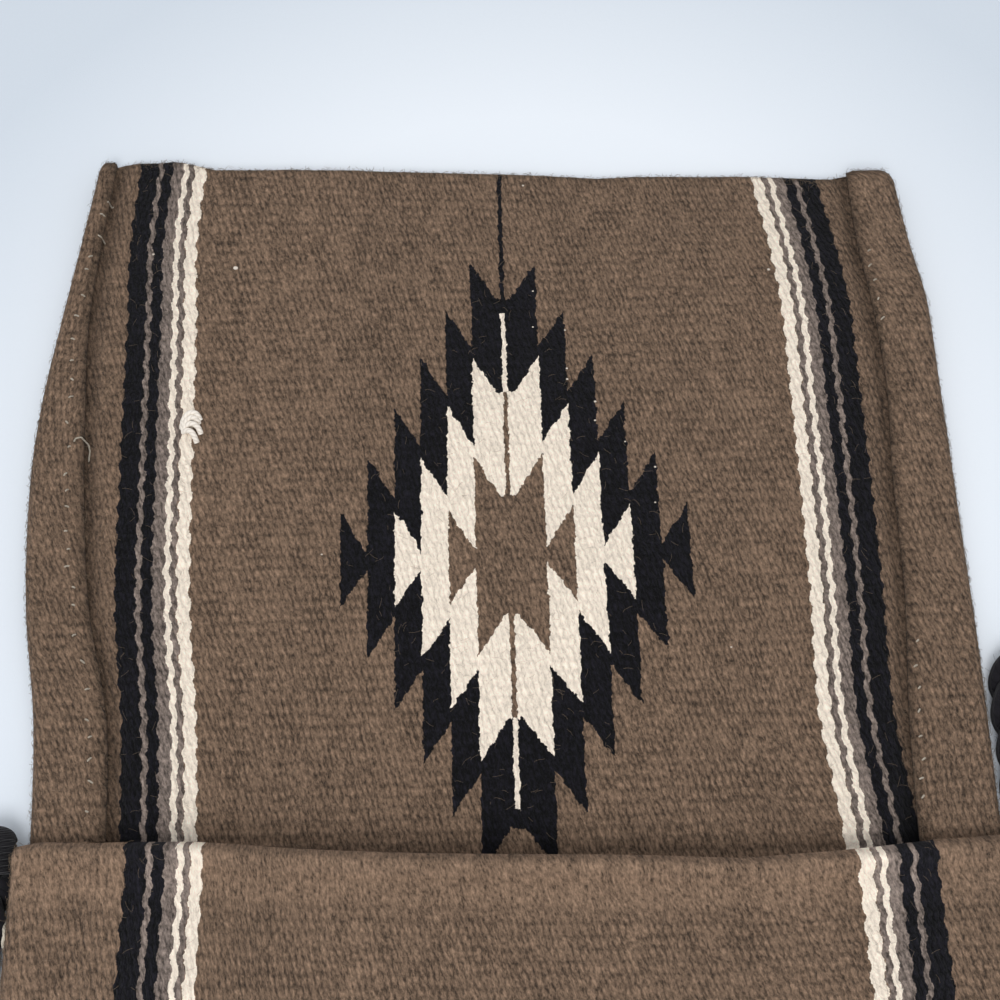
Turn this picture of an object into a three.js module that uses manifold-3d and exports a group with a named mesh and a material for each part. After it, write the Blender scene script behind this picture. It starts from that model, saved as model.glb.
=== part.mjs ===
// Hand-woven wool shoulder bag, lying on its back with the flap laid open.
// Millimetres, +Z up. The origin is under the middle of the mouth, on the surface that the bag
// lies on: the flap runs towards +Y, the pouch towards -Y, and its mouth opens towards +Y.
import * as THREE from 'three';
import { mergeVertices } from 'three/addons/utils/BufferGeometryUtils.js';
import Module from 'manifold-3d';

// Driving dimensions of the cloth
const CLOTH_THICKNESS = 3;
const LAYER_GAP = 0.3;
const POUCH_WIDTH = 300;
const POUCH_HEIGHT = 300;
const FLAP_LENGTH = 243;
const FLAP_END_SLANT = 6;
const HEM_WIDTH = 21;
const POUCH_CROWN = 7;
const RIB_PITCH = 7.5;
const RIB_DEPTH = 0.45;
const MOUTH_BEAD_HEIGHT = 2.4;
const MOUTH_BEAD_LENGTH = 7;
const FLAP_SWELL = 2.2;
const LEFT_HEM_CURL = 3;

// Driving dimensions of the strap, the seam thread and the darned knot
const STRAP_DIAMETER = 12;
const STRAP_CLEARANCE = 0.3;
const STRAP_SIDES = 8;
const STRAP_STEP = 15;
const BINDING_LENGTH = 15;
const BINDING_DIAMETER = 13;
const SEAM_THREAD_DIAMETER = 1.2;
const SEAM_THREAD_SIDES = 6;
const SEAM_STITCH_PITCH = 16;
const SEAM_END_MARGIN = 14;
const SEAM_DIP = 0.35;
const KNOT_X = -105;
const KNOT_Y = 144;
const KNOT_STRAND = 2.6;
const KNOT_LENGTH = 9;

// Sizes that follow from them
const HALF_WIDTH = POUCH_WIDTH / 2;
const HEM_LINE = HALF_WIDTH - HEM_WIDTH;
const HEMMED_THICKNESS = 2 * CLOTH_THICKNESS + LAYER_GAP;
const SIDE_HEIGHT = 2 * HEMMED_THICKNESS + LAYER_GAP;
const FOLD_RADIUS = SIDE_HEIGHT / 2;
const STRAP_RADIUS = STRAP_DIAMETER / 2;

// Outline of the open flap in plan, at shares of its length from the mouth: how far each folded
// side bellies out past the pouch's side, and how much of each hem's width lies flat. The flap is
// slack, so it bellies, and its left hem stands on edge near the free end.
const FLAP_STATIONS = [0, 0.17, 0.33, 0.5, 0.62, 0.76, 0.87, 1];
const LEFT_BELLY = [-2.8, -0.5, 5, 7.7, 6.3, 1.9, -2.5, -6.7];
const LEFT_HEM_SHARE = [1.14, 1, 0.98, 0.84, 0.7, 0.46, 0.38, 0.36];
const RIGHT_BELLY = [0, 1, 1.5, 1.5, 1.5, 1.3, -1.7, -4.2];
const RIGHT_HEM_SHARE = [1, 1.02, 1.02, 1.04, 1.04, 1, 0.92, 0.9];

const WOOL = { brown: 0x6f5c50, black: 0x1d1b20, cream: 0xe6d8c6, thread: 0xc9bfae };

function woolMaterial(colour, roughness) {
  return new THREE.MeshStandardMaterial({ color: colour, roughness, metalness: 0 });
}

function smoothStep(value, low, high) {
  const share = Math.min(Math.max((value - low) / (high - low), 0), 1);
  return share * share * (3 - 2 * share);
}

// A smooth curve through the outline's values, read at one distance from the mouth
function outlineAt(values, distance) {
  const last = FLAP_STATIONS.length - 1;
  const share = THREE.MathUtils.clamp(distance / FLAP_LENGTH, 0, 1);
  let index = 0;
  while (index < last - 1 && share > FLAP_STATIONS[index + 1]) {
    index += 1;
  }
  const before = values[Math.max(index - 1, 0)];
  const here = values[index];
  const next = values[index + 1];
  const after = values[Math.min(index + 2, last)];
  const span = FLAP_STATIONS[index + 1] - FLAP_STATIONS[index];
  const t = (share - FLAP_STATIONS[index]) / span;
  const leave = 0.5 * (next - before);
  const arrive = 0.5 * (after - here);
  const square = t * t;
  const cube = square * t;
  return (2 * cube - 3 * square + 1) * here + (cube - 2 * square + t) * leave
    + (3 * square - 2 * cube) * next + (cube - square) * arrive;
}

function flapEdge(belly, distance) {
  return HALF_WIDTH + outlineAt(belly, distance);
}

function flapHemLine(belly, share, distance) {
  return flapEdge(belly, distance) - HEM_WIDTH * outlineAt(share, distance);
}

// One cut across the cloth: its layers at both hems, from the outer face at height 0 to the
// inner face. groove cuts the ribs, on the inner face where ribsInside is true.
function crossSection(cut) {
  const outer = cut.ribsInside ? -cut.bead : cut.groove - cut.bead;
  const inner = CLOTH_THICKNESS - (cut.ribsInside ? cut.groove : 0);
  const low = CLOTH_THICKNESS + LAYER_GAP;
  const high = HEMMED_THICKNESS - (cut.ribsInside ? cut.groove : 0);
  const radius = (high - outer) / 2;
  const middle = (high + outer) / 2;
  const turn = HEMMED_THICKNESS / 2;
  const points = [];
  const columns = 5;
  const edgeLeft = -cut.leftEdge + radius;
  const edgeRight = cut.rightEdge - radius;
  for (let column = 1; column < columns; column += 1) {
    const x = THREE.MathUtils.lerp(edgeLeft, edgeRight, column / columns);
    points.push([x, outer]);
  }
  for (let step = -2; step <= 2; step += 1) {
    const angle = (step * Math.PI) / 4;
    points.push([edgeRight + radius * Math.cos(angle), middle + radius * Math.sin(angle)]);
  }
  points.push([cut.rightHem, high]);
  points.push([cut.rightHem, low]);
  points.push([cut.rightEdge - turn, low]);
  points.push([cut.rightEdge - turn, inner]);
  for (let column = columns - 1; column > 0; column -= 1) {
    const share = column / columns;
    const x = THREE.MathUtils.lerp(-cut.leftEdge + turn, cut.rightEdge - turn, share);
    points.push([x, inner]);
  }
  points.push([-cut.leftEdge + turn, inner]);
  points.push([-cut.leftEdge + turn, low]);
  points.push([-cut.leftHem, low]);
  points.push([-cut.leftHem, high]);
  for (let step = 2; step >= -2; step -= 1) {
    const angle = Math.PI - (step * Math.PI) / 4;
    points.push([edgeLeft + radius * Math.cos(angle), middle + radius * Math.sin(angle)]);
  }
  return points;
}

// The flap's soft swells, and the curl of its left hem near the free end
function flapRise(x, distance) {
  const away = smoothStep(distance, 25, 90);
  const across = Math.sin((x / HALF_WIDTH) * Math.PI * 1.5 + 0.6);
  const along = Math.sin((distance / FLAP_LENGTH) * Math.PI * 1.8);
  const swell = FLAP_SWELL * away * (0.55 + 0.45 * across * along);
  const hem = flapHemLine(LEFT_BELLY, LEFT_HEM_SHARE, distance);
  const edge = flapEdge(LEFT_BELLY, distance);
  const beyond = THREE.MathUtils.clamp((-x - hem) / (edge - hem), 0, 1);
  const curl = LEFT_HEM_CURL * smoothStep(distance, 110, 215) * beyond * beyond;
  return swell + curl;
}

// The crown of the pouch's front, which is slack over the hollow inside
function frontRise(x, y) {
  const across = Math.max(1 - (x / HEM_LINE) ** 2, 0);
  const fromFold = smoothStep(y, -POUCH_HEIGHT + FOLD_RADIUS, -POUCH_HEIGHT + 110);
  const toMouth = 1 - 0.35 * smoothStep(y, -110, 0);
  return POUCH_CROWN * across * (2 - across) * fromFold * toMouth;
}

function flapCut(distance, groove) {
  return {
    leftEdge: flapEdge(LEFT_BELLY, distance),
    leftHem: flapHemLine(LEFT_BELLY, LEFT_HEM_SHARE, distance),
    rightEdge: flapEdge(RIGHT_BELLY, distance),
    rightHem: flapHemLine(RIGHT_BELLY, RIGHT_HEM_SHARE, distance),
    ribsInside: true,
    groove,
    bead: 0,
  };
}

function pouchCut(groove, bead) {
  return {
    leftEdge: HALF_WIDTH,
    leftHem: HEM_LINE,
    rightEdge: HALF_WIDTH,
    rightHem: HEM_LINE,
    ribsInside: false,
    groove,
    bead,
  };
}

// The cloth's run: flap end, mouth, back, bottom fold, front, mouth selvedge. Each ring of points
// is one cut across the cloth, put where it lies.
function clothRings() {
  const rings = [];
  const half = RIB_PITCH / 2;
  const flapSteps = Math.round(FLAP_LENGTH / half);
  for (let step = 0; step <= flapSteps; step += 1) {
    const distance = FLAP_LENGTH * (1 - step / flapSteps);
    const ribbed = step % 2 === 1 && distance > RIB_PITCH;
    const points = crossSection(flapCut(distance, ribbed ? RIB_DEPTH : 0));
    const slant = FLAP_END_SLANT * smoothStep(distance, FLAP_LENGTH * 0.7, FLAP_LENGTH);
    rings.push(points.map(([x, rise]) => {
      const y = distance - (slant * x) / HALF_WIDTH;
      return new THREE.Vector3(x, y, rise + flapRise(x, distance));
    }));
  }
  const foldY = -POUCH_HEIGHT + FOLD_RADIUS;
  const backSteps = 3;
  for (let step = 1; step <= backSteps; step += 1) {
    const y = (foldY * step) / backSteps;
    const points = crossSection(pouchCut(0, 0));
    rings.push(points.map(([x, rise]) => new THREE.Vector3(x, y, rise)));
  }
  const foldSteps = 8;
  for (let step = 1; step <= foldSteps; step += 1) {
    const angle = (Math.PI * step) / foldSteps;
    const points = crossSection(pouchCut(0, 0));
    rings.push(points.map(([x, rise]) => {
      const radius = FOLD_RADIUS - rise;
      const y = foldY - radius * Math.sin(angle);
      return new THREE.Vector3(x, y, FOLD_RADIUS - radius * Math.cos(angle));
    }));
  }
  const frontSteps = Math.round(-foldY / half);
  for (let step = 1; step <= frontSteps; step += 1) {
    const y = foldY * (1 - step / frontSteps);
    const inBead = y > -MOUTH_BEAD_LENGTH;
    const groove = step % 2 === 1 && !inBead ? RIB_DEPTH : 0;
    const along = THREE.MathUtils.clamp(1 + y / MOUTH_BEAD_LENGTH, 0, 1);
    const bead = MOUTH_BEAD_HEIGHT * Math.sin(Math.PI * Math.min(along + 0.08, 0.92));
    const points = crossSection(pouchCut(groove, inBead ? bead : 0));
    rings.push(points.map(([x, rise]) => {
      return new THREE.Vector3(x, y, SIDE_HEIGHT - rise + frontRise(x, y));
    }));
  }
  return rings;
}

// A closed solid from rings of points that all have the same count, with flat ends
function loftedSolid(rings, capSection) {
  const positions = [];
  const indices = [];
  const count = rings[0].length;
  rings.forEach((ring) => ring.forEach((point) => positions.push(point.x, point.y, point.z)));
  for (let ring = 0; ring < rings.length - 1; ring += 1) {
    for (let point = 0; point < count; point += 1) {
      const next = (point + 1) % count;
      const a = ring * count + point;
      const b = ring * count + next;
      indices.push(a, b, a + count, b, b + count, a + count);
    }
  }
  const outline = capSection.map(([x, rise]) => new THREE.Vector2(x, rise));
  const faces = THREE.ShapeUtils.triangulateShape(outline, []);
  const end = (rings.length - 1) * count;
  faces.forEach(([a, b, c]) => {
    indices.push(a, c, b);
    indices.push(end + a, end + b, end + c);
  });
  const geometry = new THREE.BufferGeometry();
  geometry.setAttribute('position', new THREE.Float32BufferAttribute(positions, 3));
  geometry.setIndex(indices);
  return facingOut(geometry);
}

function signedVolume(geometry) {
  const position = geometry.getAttribute('position');
  const index = geometry.getIndex();
  const a = new THREE.Vector3();
  const b = new THREE.Vector3();
  const c = new THREE.Vector3();
  let volume = 0;
  for (let corner = 0; corner < index.count; corner += 3) {
    a.fromBufferAttribute(position, index.getX(corner));
    b.fromBufferAttribute(position, index.getX(corner + 1));
    c.fromBufferAttribute(position, index.getX(corner + 2));
    volume += a.dot(b.cross(c)) / 6;
  }
  return volume;
}

function facingOut(geometry) {
  if (signedVolume(geometry) < 0) {
    const array = geometry.getIndex().array;
    for (let corner = 0; corner < array.length; corner += 3) {
      const kept = array[corner];
      array[corner] = array[corner + 1];
      array[corner + 1] = kept;
    }
  }
  geometry.computeVertexNormals();
  return geometry;
}

function wovenCloth() {
  const geometry = loftedSolid(clothRings(), crossSection(flapCut(FLAP_LENGTH, 0)));
  return new THREE.Mesh(geometry, woolMaterial(WOOL.brown, 0.95));
}

// The round section of a cord or a thread, for an extrusion along its route
function roundSection(diameter, sides) {
  const shape = new THREE.Shape();
  for (let side = 0; side < sides; side += 1) {
    const angle = (2 * Math.PI * side) / sides;
    const x = (diameter / 2) * Math.cos(angle);
    const y = (diameter / 2) * Math.sin(angle);
    if (side === 0) {
      shape.moveTo(x, y);
    } else {
      shape.lineTo(x, y);
    }
  }
  shape.closePath();
  return shape;
}

function roundCord(path, diameter, sides, steps) {
  const settings = { extrudePath: path, steps, curveSegments: 1, bevelEnabled: false };
  return new THREE.ExtrudeGeometry(roundSection(diameter, sides), settings);
}

// Where the strap's bound ends lie beside the mouth's corners
const BINDING_X = HALF_WIDTH + STRAP_CLEARANCE + BINDING_DIAMETER / 2;
const BINDING_RISE = BINDING_DIAMETER / 2 + 0.1;
const LEFT_BINDING_Y = 3;
const RIGHT_BINDING_Y = -4;

// The strap's route, chosen by hand: from the bound end at the left corner down beside the pouch,
// around its bottom, up its right side and back to the bound end at the right corner.
const STRAP_LIE = STRAP_RADIUS + 0.15;
const STRAP_ROUTE = [
  [-BINDING_X, LEFT_BINDING_Y - BINDING_LENGTH / 2 - STRAP_CLEARANCE, BINDING_RISE],
  [-BINDING_X, LEFT_BINDING_Y - BINDING_LENGTH / 2 - 10, BINDING_RISE],
  [-158.6, -32, STRAP_LIE],
  [-160.2, -58, STRAP_LIE],
  [-161, -95, STRAP_LIE],
  [-161.5, -145, STRAP_LIE],
  [-162, -195, STRAP_LIE],
  [-162.5, -240, STRAP_LIE],
  [-162.5, -275, STRAP_LIE],
  [-157.5, -303, STRAP_LIE],
  [-142, -316, STRAP_LIE],
  [-110, -319, STRAP_LIE],
  [-65, -316, STRAP_LIE],
  [-20, -313, STRAP_LIE],
  [30, -313, STRAP_LIE],
  [80, -316, STRAP_LIE],
  [118, -319, STRAP_LIE],
  [146, -316, STRAP_LIE],
  [162, -302, STRAP_LIE],
  [168, -275, STRAP_LIE],
  [168, -240, STRAP_LIE],
  [167, -195, STRAP_LIE],
  [169, -150, STRAP_LIE],
  [175, -105, STRAP_LIE],
  [186, -62, STRAP_LIE],
  [196, -22, STRAP_LIE],
  [199, 8, STRAP_LIE],
  [194, 32, STRAP_LIE],
  [183, 47, STRAP_LIE],
  [171.5, 54.5, STRAP_LIE],
  [162.8, 54.2, STRAP_LIE],
  [158.2, 46, STRAP_LIE],
  [157.7, 34, STRAP_LIE],
  [157.6, 23, STRAP_LIE],
  [BINDING_X, RIGHT_BINDING_Y + BINDING_LENGTH / 2 + 10, BINDING_RISE],
  [BINDING_X, RIGHT_BINDING_Y + BINDING_LENGTH / 2 + STRAP_CLEARANCE, BINDING_RISE],
];

function shoulderStrap() {
  const route = STRAP_ROUTE.map(([x, y, z]) => new THREE.Vector3(x, y, z));
  const path = new THREE.CatmullRomCurve3(route, false, 'centripetal');
  const steps = Math.round(path.getLength() / STRAP_STEP);
  const geometry = roundCord(path, STRAP_DIAMETER, STRAP_SIDES, steps);
  return new THREE.Mesh(geometry, woolMaterial(WOOL.black, 0.9));
}

// A whipped end: a short round plug of wound yarn with a domed tip
function strapBinding(side) {
  const radius = BINDING_DIAMETER / 2;
  const dome = 4;
  const profile = [new THREE.Vector2(0, -BINDING_LENGTH / 2)];
  profile.push(new THREE.Vector2(radius, -BINDING_LENGTH / 2));
  profile.push(new THREE.Vector2(radius, BINDING_LENGTH / 2 - dome));
  for (let step = 1; step <= 3; step += 1) {
    const angle = (step * Math.PI) / 6;
    const x = radius * Math.cos(angle);
    const y = BINDING_LENGTH / 2 - dome + dome * Math.sin(angle);
    profile.push(new THREE.Vector2(step === 3 ? 0 : x, y));
  }
  const mesh = new THREE.Mesh(
    new THREE.LatheGeometry(profile, 16),
    woolMaterial(WOOL.black, 0.9),
  );
  const y = side < 0 ? LEFT_BINDING_Y : RIGHT_BINDING_Y;
  mesh.position.set(side * BINDING_X, y, BINDING_RISE);
  mesh.rotation.x = side < 0 ? 0 : Math.PI;
  return mesh;
}

// The whip stitches that hold the front's folded side to the back's. The thread swings up and
// down over the groove between them, and dips into it a little on the way.
function sideSeam(side) {
  const reach = SEAM_THREAD_DIAMETER / 2 + LAYER_GAP;
  const swing = FOLD_RADIUS * 0.62;
  const first = -POUCH_HEIGHT + SEAM_END_MARGIN;
  const last = -SEAM_END_MARGIN;
  const stitches = Math.round((last - first) / SEAM_STITCH_PITCH);
  const quarters = 4 * stitches;
  const route = [];
  for (let quarter = 0; quarter <= quarters; quarter += 1) {
    const turn = (quarter * Math.PI) / 2;
    const x = side * (HALF_WIDTH + reach - SEAM_DIP * Math.sin(turn) ** 2);
    const y = THREE.MathUtils.lerp(first, last, quarter / quarters);
    route.push(new THREE.Vector3(x, y, FOLD_RADIUS - swing * Math.cos(turn)));
  }
  const path = new THREE.CatmullRomCurve3(route, false, 'centripetal');
  const geometry = roundCord(path, SEAM_THREAD_DIAMETER, SEAM_THREAD_SIDES, quarters);
  return new THREE.Mesh(geometry, woolMaterial(WOOL.thread, 0.85));
}

const wasm = await Module();
wasm.setup();

function toManifold(geometry) {
  const plain = geometry.clone();
  plain.deleteAttribute('normal');
  plain.deleteAttribute('uv');
  const merged = mergeVertices(plain, 1e-4);
  const vertProperties = new Float32Array(merged.getAttribute('position').array);
  const triVerts = new Uint32Array(merged.getIndex().array);
  return new wasm.Manifold(new wasm.Mesh({ numProp: 3, vertProperties, triVerts }));
}

function toGeometry(solid) {
  const mesh = solid.getMesh();
  const geometry = new THREE.BufferGeometry();
  const array = new Float32Array(mesh.vertProperties);
  geometry.setAttribute('position', new THREE.Float32BufferAttribute(array, 3));
  geometry.setIndex(Array.from(mesh.triVerts));
  geometry.computeVertexNormals();
  return geometry;
}

// Three plies of white yarn that were darned over the left stripe and knotted down
function stripeKnot() {
  const turns = [-0.5, 0, 0.5];
  let knot = null;
  turns.forEach((turn, index) => {
    const strand = new THREE.SphereGeometry(KNOT_STRAND / 2, 10, 8);
    strand.scale(KNOT_LENGTH / KNOT_STRAND, 1, 1);
    strand.rotateZ(turn);
    strand.translate(0, (index - 1) * KNOT_STRAND * 0.75, 0);
    const solid = toManifold(strand);
    knot = knot ? knot.add(solid) : solid;
  });
  const mesh = new THREE.Mesh(toGeometry(knot), woolMaterial(WOOL.cream, 0.9));
  const rest = CLOTH_THICKNESS + flapRise(KNOT_X, KNOT_Y);
  mesh.position.set(KNOT_X, KNOT_Y, rest + KNOT_STRAND / 2 + LAYER_GAP);
  return mesh;
}

function named(name, mesh) {
  mesh.name = name;
  return mesh;
}

const bag = new THREE.Group();
bag.add(named('woven_cloth', wovenCloth()));
bag.add(named('side_seam_left', sideSeam(-1)));
bag.add(named('side_seam_right', sideSeam(1)));
bag.add(named('shoulder_strap', shoulderStrap()));
bag.add(named('strap_binding_left', strapBinding(-1)));
bag.add(named('strap_binding_right', strapBinding(1)));
bag.add(named('stripe_knot', stripeKnot()));

export default bag;
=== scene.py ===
# %% [markdown]
# # A hand-woven wool shoulder bag, lying open
#
# The bag is one length of thick wool tapestry. It is folded into a flat pouch, and the rest of it
# is a long flap, laid open here so that its inner face shows. Both long sides are turned over as
# hems and sewn down. A braided cord is the strap.
#
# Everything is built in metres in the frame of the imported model, so nothing is fitted afterwards:
# +X is to the right, +Y runs from the mouth along the flap, and +Z is up from the table.

# %% Load the frame
import math

import bmesh
import bpy
import numpy as np
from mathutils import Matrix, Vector
from mathutils.bvhtree import BVHTree
from mathutils.geometry import tessellate_polygon


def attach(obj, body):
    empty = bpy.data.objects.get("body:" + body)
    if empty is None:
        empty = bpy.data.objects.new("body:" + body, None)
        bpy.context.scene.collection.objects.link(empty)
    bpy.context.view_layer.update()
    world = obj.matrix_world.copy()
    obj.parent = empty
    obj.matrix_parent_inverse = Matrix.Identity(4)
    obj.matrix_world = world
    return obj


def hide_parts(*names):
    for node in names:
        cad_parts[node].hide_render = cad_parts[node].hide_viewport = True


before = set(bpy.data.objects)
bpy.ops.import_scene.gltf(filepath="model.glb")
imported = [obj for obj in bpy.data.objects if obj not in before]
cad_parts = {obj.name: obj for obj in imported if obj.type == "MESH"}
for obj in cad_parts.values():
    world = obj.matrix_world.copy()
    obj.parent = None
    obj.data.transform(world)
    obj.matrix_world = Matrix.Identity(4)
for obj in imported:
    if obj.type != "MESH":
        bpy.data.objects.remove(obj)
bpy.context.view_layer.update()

MM = 0.001

# %% [markdown]
# ## Two helpers
#
# Colours are written as the hex values that a screen shows, and Blender's sockets want linear
# light, so one function turns the one into the other. Node trees are built by a second function,
# which adds a node, sets it and links it, and hands back one of its output sockets.

# %% Colours and nodes
def linear(hex_colour):
    """A '#rrggbb' screen colour as linear RGBA."""
    channels = [int(hex_colour[i:i + 2], 16) / 255 for i in (1, 3, 5)]
    light = [c / 12.92 if c <= 0.04045 else ((c + 0.055) / 1.055) ** 2.4 for c in channels]
    return (*light, 1.0)


def add(tree, kind, inputs=None, out=0, **settings):
    """Add a node with its settings, inputs and links, and return the output socket asked for."""
    node = tree.nodes.new(kind)
    for name, value in settings.items():
        setattr(node, name, value)
    for key, value in (inputs or {}).items():
        if isinstance(value, bpy.types.NodeSocket):
            tree.links.new(value, node.inputs[key])
        else:
            node.inputs[key].default_value = value
    return node.outputs[out] if len(node.outputs) else node


def new_material(name):
    """A material with an empty tree, and its output node."""
    material = bpy.data.materials.new(name)
    material.use_nodes = True
    material.node_tree.nodes.clear()
    return material, material.node_tree


def link_object(name, mesh, material):
    """A mesh as an object at the origin, in the scene."""
    piece = bpy.data.objects.new(name, mesh)
    bpy.context.scene.collection.objects.link(piece)
    mesh.materials.append(material)
    return piece


# %% [markdown]
# ## The camera
#
# The stripes run together towards the top, which gives the camera's tilt: their vanishing point
# lies about 3600 pixels above the middle of the picture. With a 50 mm lens that is a camera
# 69 degrees above the table and 47 cm away, turned a little to the side.

# %% Camera
LENS = 50.0
SENSOR = 36.0
CAMERA_ELEVATION = math.radians(69.0)
CAMERA_TURN = math.radians(-1.5)
CAMERA_DISTANCE = 0.4685
CAMERA_TARGET = Vector((-0.0008, 0.1152, 0.0))

looking = Vector((
    -math.sin(CAMERA_TURN) * math.cos(CAMERA_ELEVATION),
    math.cos(CAMERA_TURN) * math.cos(CAMERA_ELEVATION),
    -math.sin(CAMERA_ELEVATION),
))
camera_data = bpy.data.cameras.new("camera")
camera_data.lens = LENS
camera_data.sensor_width = SENSOR
camera_data.clip_start = 0.01
camera = bpy.data.objects.new("camera", camera_data)
camera.location = CAMERA_TARGET - looking * CAMERA_DISTANCE
camera.rotation_euler = looking.to_track_quat("-Z", "Y").to_euler()
bpy.context.scene.collection.objects.link(camera)
bpy.context.scene.camera = camera
print("camera at", [round(v, 3) for v in camera.location])

# %% [markdown]
# ## Yarn materials
#
# Everything here is spun wool or cotton. A yarn is a few plies twisted together, so its surface
# has slanting grooves, and loose fibres scatter light into a soft sheen with no gloss. One
# function makes each plain yarn; its grooves follow two numbers that the mesh carries: the
# distance along the yarn and the turn around it.

# %% Plain yarns
PLY_TWIST_PITCH = 4.5 * MM


def yarn_material(name, colour, shade, plies=3, pitch=PLY_TWIST_PITCH, depth=0.35 * MM):
    """Twisted yarn. 'yarn' on the mesh holds (metres along, turns around, random)."""
    material, tree = new_material(name)
    place = add(tree, "ShaderNodeAttribute", out="Vector", attribute_name="yarn")
    parts = add(tree, "ShaderNodeSeparateXYZ", {0: place})
    turned = add(tree, "ShaderNodeMath", {0: parts, 1: 1 / pitch}, operation="MULTIPLY")
    around = add(tree, "ShaderNodeMath", {0: parts.node.outputs[1], 1: turned},
                 operation="ADD")
    wave = add(tree, "ShaderNodeMath", {0: around, 1: plies * math.pi}, operation="MULTIPLY")
    sine = add(tree, "ShaderNodeMath", {0: wave}, operation="SINE")
    ply = add(tree, "ShaderNodeMath", {0: sine}, operation="ABSOLUTE")
    coordinates = add(tree, "ShaderNodeTexCoord", out="Object")
    # Single fibres are 0.03 mm; they are drawn at about 0.3 mm so that they show
    fibres = add(tree, "ShaderNodeTexNoise",
                 {"Vector": coordinates, "Scale": 3200.0, "Detail": 3.0, "Roughness": 0.7})
    patches = add(tree, "ShaderNodeTexNoise",
                  {"Vector": coordinates, "Scale": 90.0, "Detail": 2.0})
    height = add(tree, "ShaderNodeMath", {0: fibres, 1: 0.45, 2: ply},
                 operation="MULTIPLY_ADD")
    bump = add(tree, "ShaderNodeBump", {"Height": height, "Distance": depth, "Strength": 1.0})
    lightness = add(tree, "ShaderNodeMath", {0: ply, 1: 0.45, 2: patches},
                    operation="MULTIPLY_ADD")
    tone = add(tree, "ShaderNodeMapRange", {0: lightness, 1: 0.35, 2: 0.95, 3: 0.0, 4: 1.0})
    mixed = add(tree, "ShaderNodeMix", {0: tone, 6: linear(shade), 7: linear(colour)}, out=2,
                data_type="RGBA")
    shader = add(tree, "ShaderNodeBsdfPrincipled",
                 {"Base Color": mixed, "Roughness": 0.92, "Normal": bump,
                  "Specular IOR Level": 0.2, "Sheen Weight": 0.12, "Sheen Roughness": 0.5})
    add(tree, "ShaderNodeOutputMaterial", {0: shader})
    return material


# Carded black wool in three plies: nearly black, with a faint brown where it thins
black_wool_yarn = yarn_material("black_wool_braid", "#18161b", "#0b0a0e", pitch=11 * MM)
# Bleached white wool, spun so softly that its plies hardly show
white_darning_yarn = yarn_material("white_darning_yarn", "#f4ebdf", "#cfc2b3", depth=0.12 * MM)
# Pale linen sewing thread, a little grey with use
linen_thread = yarn_material("pale_sewing_thread", "#c9bfae", "#998d7c", depth=0.15 * MM)

# %% [markdown]
# ## The strap
#
# The strap is a plait of three thick strands of black wool, sewn to both corners of the mouth.
# Its route is listed: from the left corner it lies down the side of the pouch, around its
# bottom, up the right side and over in a bend to the right corner. One smooth curve through the
# points gives the middle line of the plait.

# %% Strap route
BINDING_LENGTH = 15 * MM
LEFT_BINDING_Y = 3
RIGHT_BINDING_Y = -4
PLAIT_SINK = 1.3
STRAP_LIE = 6.15
BINDING_X = 156.8
BINDING_RISE = 6.6
STRAP_ROUTE = [
    (-BINDING_X, -4.8, BINDING_RISE),
    (-BINDING_X, -14.5, BINDING_RISE),
    (-158.6, -32, STRAP_LIE),
    (-160.2, -58, STRAP_LIE),
    (-161, -95, STRAP_LIE),
    (-161.5, -145, STRAP_LIE),
    (-162, -195, STRAP_LIE),
    (-162.5, -240, STRAP_LIE),
    (-162.5, -275, STRAP_LIE),
    (-157.5, -303, STRAP_LIE),
    (-142, -316, STRAP_LIE),
    (-110, -319, STRAP_LIE),
    (-65, -316, STRAP_LIE),
    (-20, -313, STRAP_LIE),
    (30, -313, STRAP_LIE),
    (80, -316, STRAP_LIE),
    (118, -319, STRAP_LIE),
    (146, -316, STRAP_LIE),
    (162, -302, STRAP_LIE),
    (168, -275, STRAP_LIE),
    (168, -240, STRAP_LIE),
    (167, -195, STRAP_LIE),
    (169, -150, STRAP_LIE),
    (175, -105, STRAP_LIE),
    (186, -62, STRAP_LIE),
    (196, -22, STRAP_LIE),
    (199, 8, STRAP_LIE),
    (194, 32, STRAP_LIE),
    (183, 47, STRAP_LIE),
    (171.5, 54.5, STRAP_LIE),
    (162.8, 54.2, STRAP_LIE),
    (158.2, 46, STRAP_LIE),
    (157.7, 34, STRAP_LIE),
    (157.6, 23, STRAP_LIE),
    (BINDING_X, 13.5, BINDING_RISE),
    (BINDING_X, 3.8, BINDING_RISE),
]


def smooth_route(points, per_span=14):
    """Points close together on a centripetal curve through the given ones, in metres."""
    held = [Vector(p) * MM for p in points]
    held = [2 * held[0] - held[1]] + held + [2 * held[-1] - held[-2]]
    smooth = []
    for a, b, c, d in zip(held, held[1:], held[2:], held[3:]):
        knots = [0.0]
        for one, other in ((a, b), (b, c), (c, d)):
            knots.append(knots[-1] + max((other - one).length, 1e-6) ** 0.5)
        k0, k1, k2, k3 = knots
        for step in range(per_span):
            t = k1 + (k2 - k1) * step / per_span
            ab = a.lerp(b, (t - k0) / (k1 - k0))
            bc = b.lerp(c, (t - k1) / (k2 - k1))
            cd = c.lerp(d, (t - k2) / (k3 - k2))
            abc = ab.lerp(bc, (t - k0) / (k2 - k0))
            bcd = bc.lerp(cd, (t - k1) / (k3 - k1))
            smooth.append(abc.lerp(bcd, (t - k1) / (k2 - k1)))
    smooth.append(held[-2])
    return smooth


strap_path = [p - Vector((0, 0, PLAIT_SINK * MM)) for p in smooth_route(STRAP_ROUTE)]

# %% [markdown]
# Everything that follows a line is made the same way: the line becomes a curve object, a node
# tree is run on it, and the result is kept as a plain mesh. A modifier could do the same, but
# then the piece would change with its source, and a finished piece shouldn't.

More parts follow.
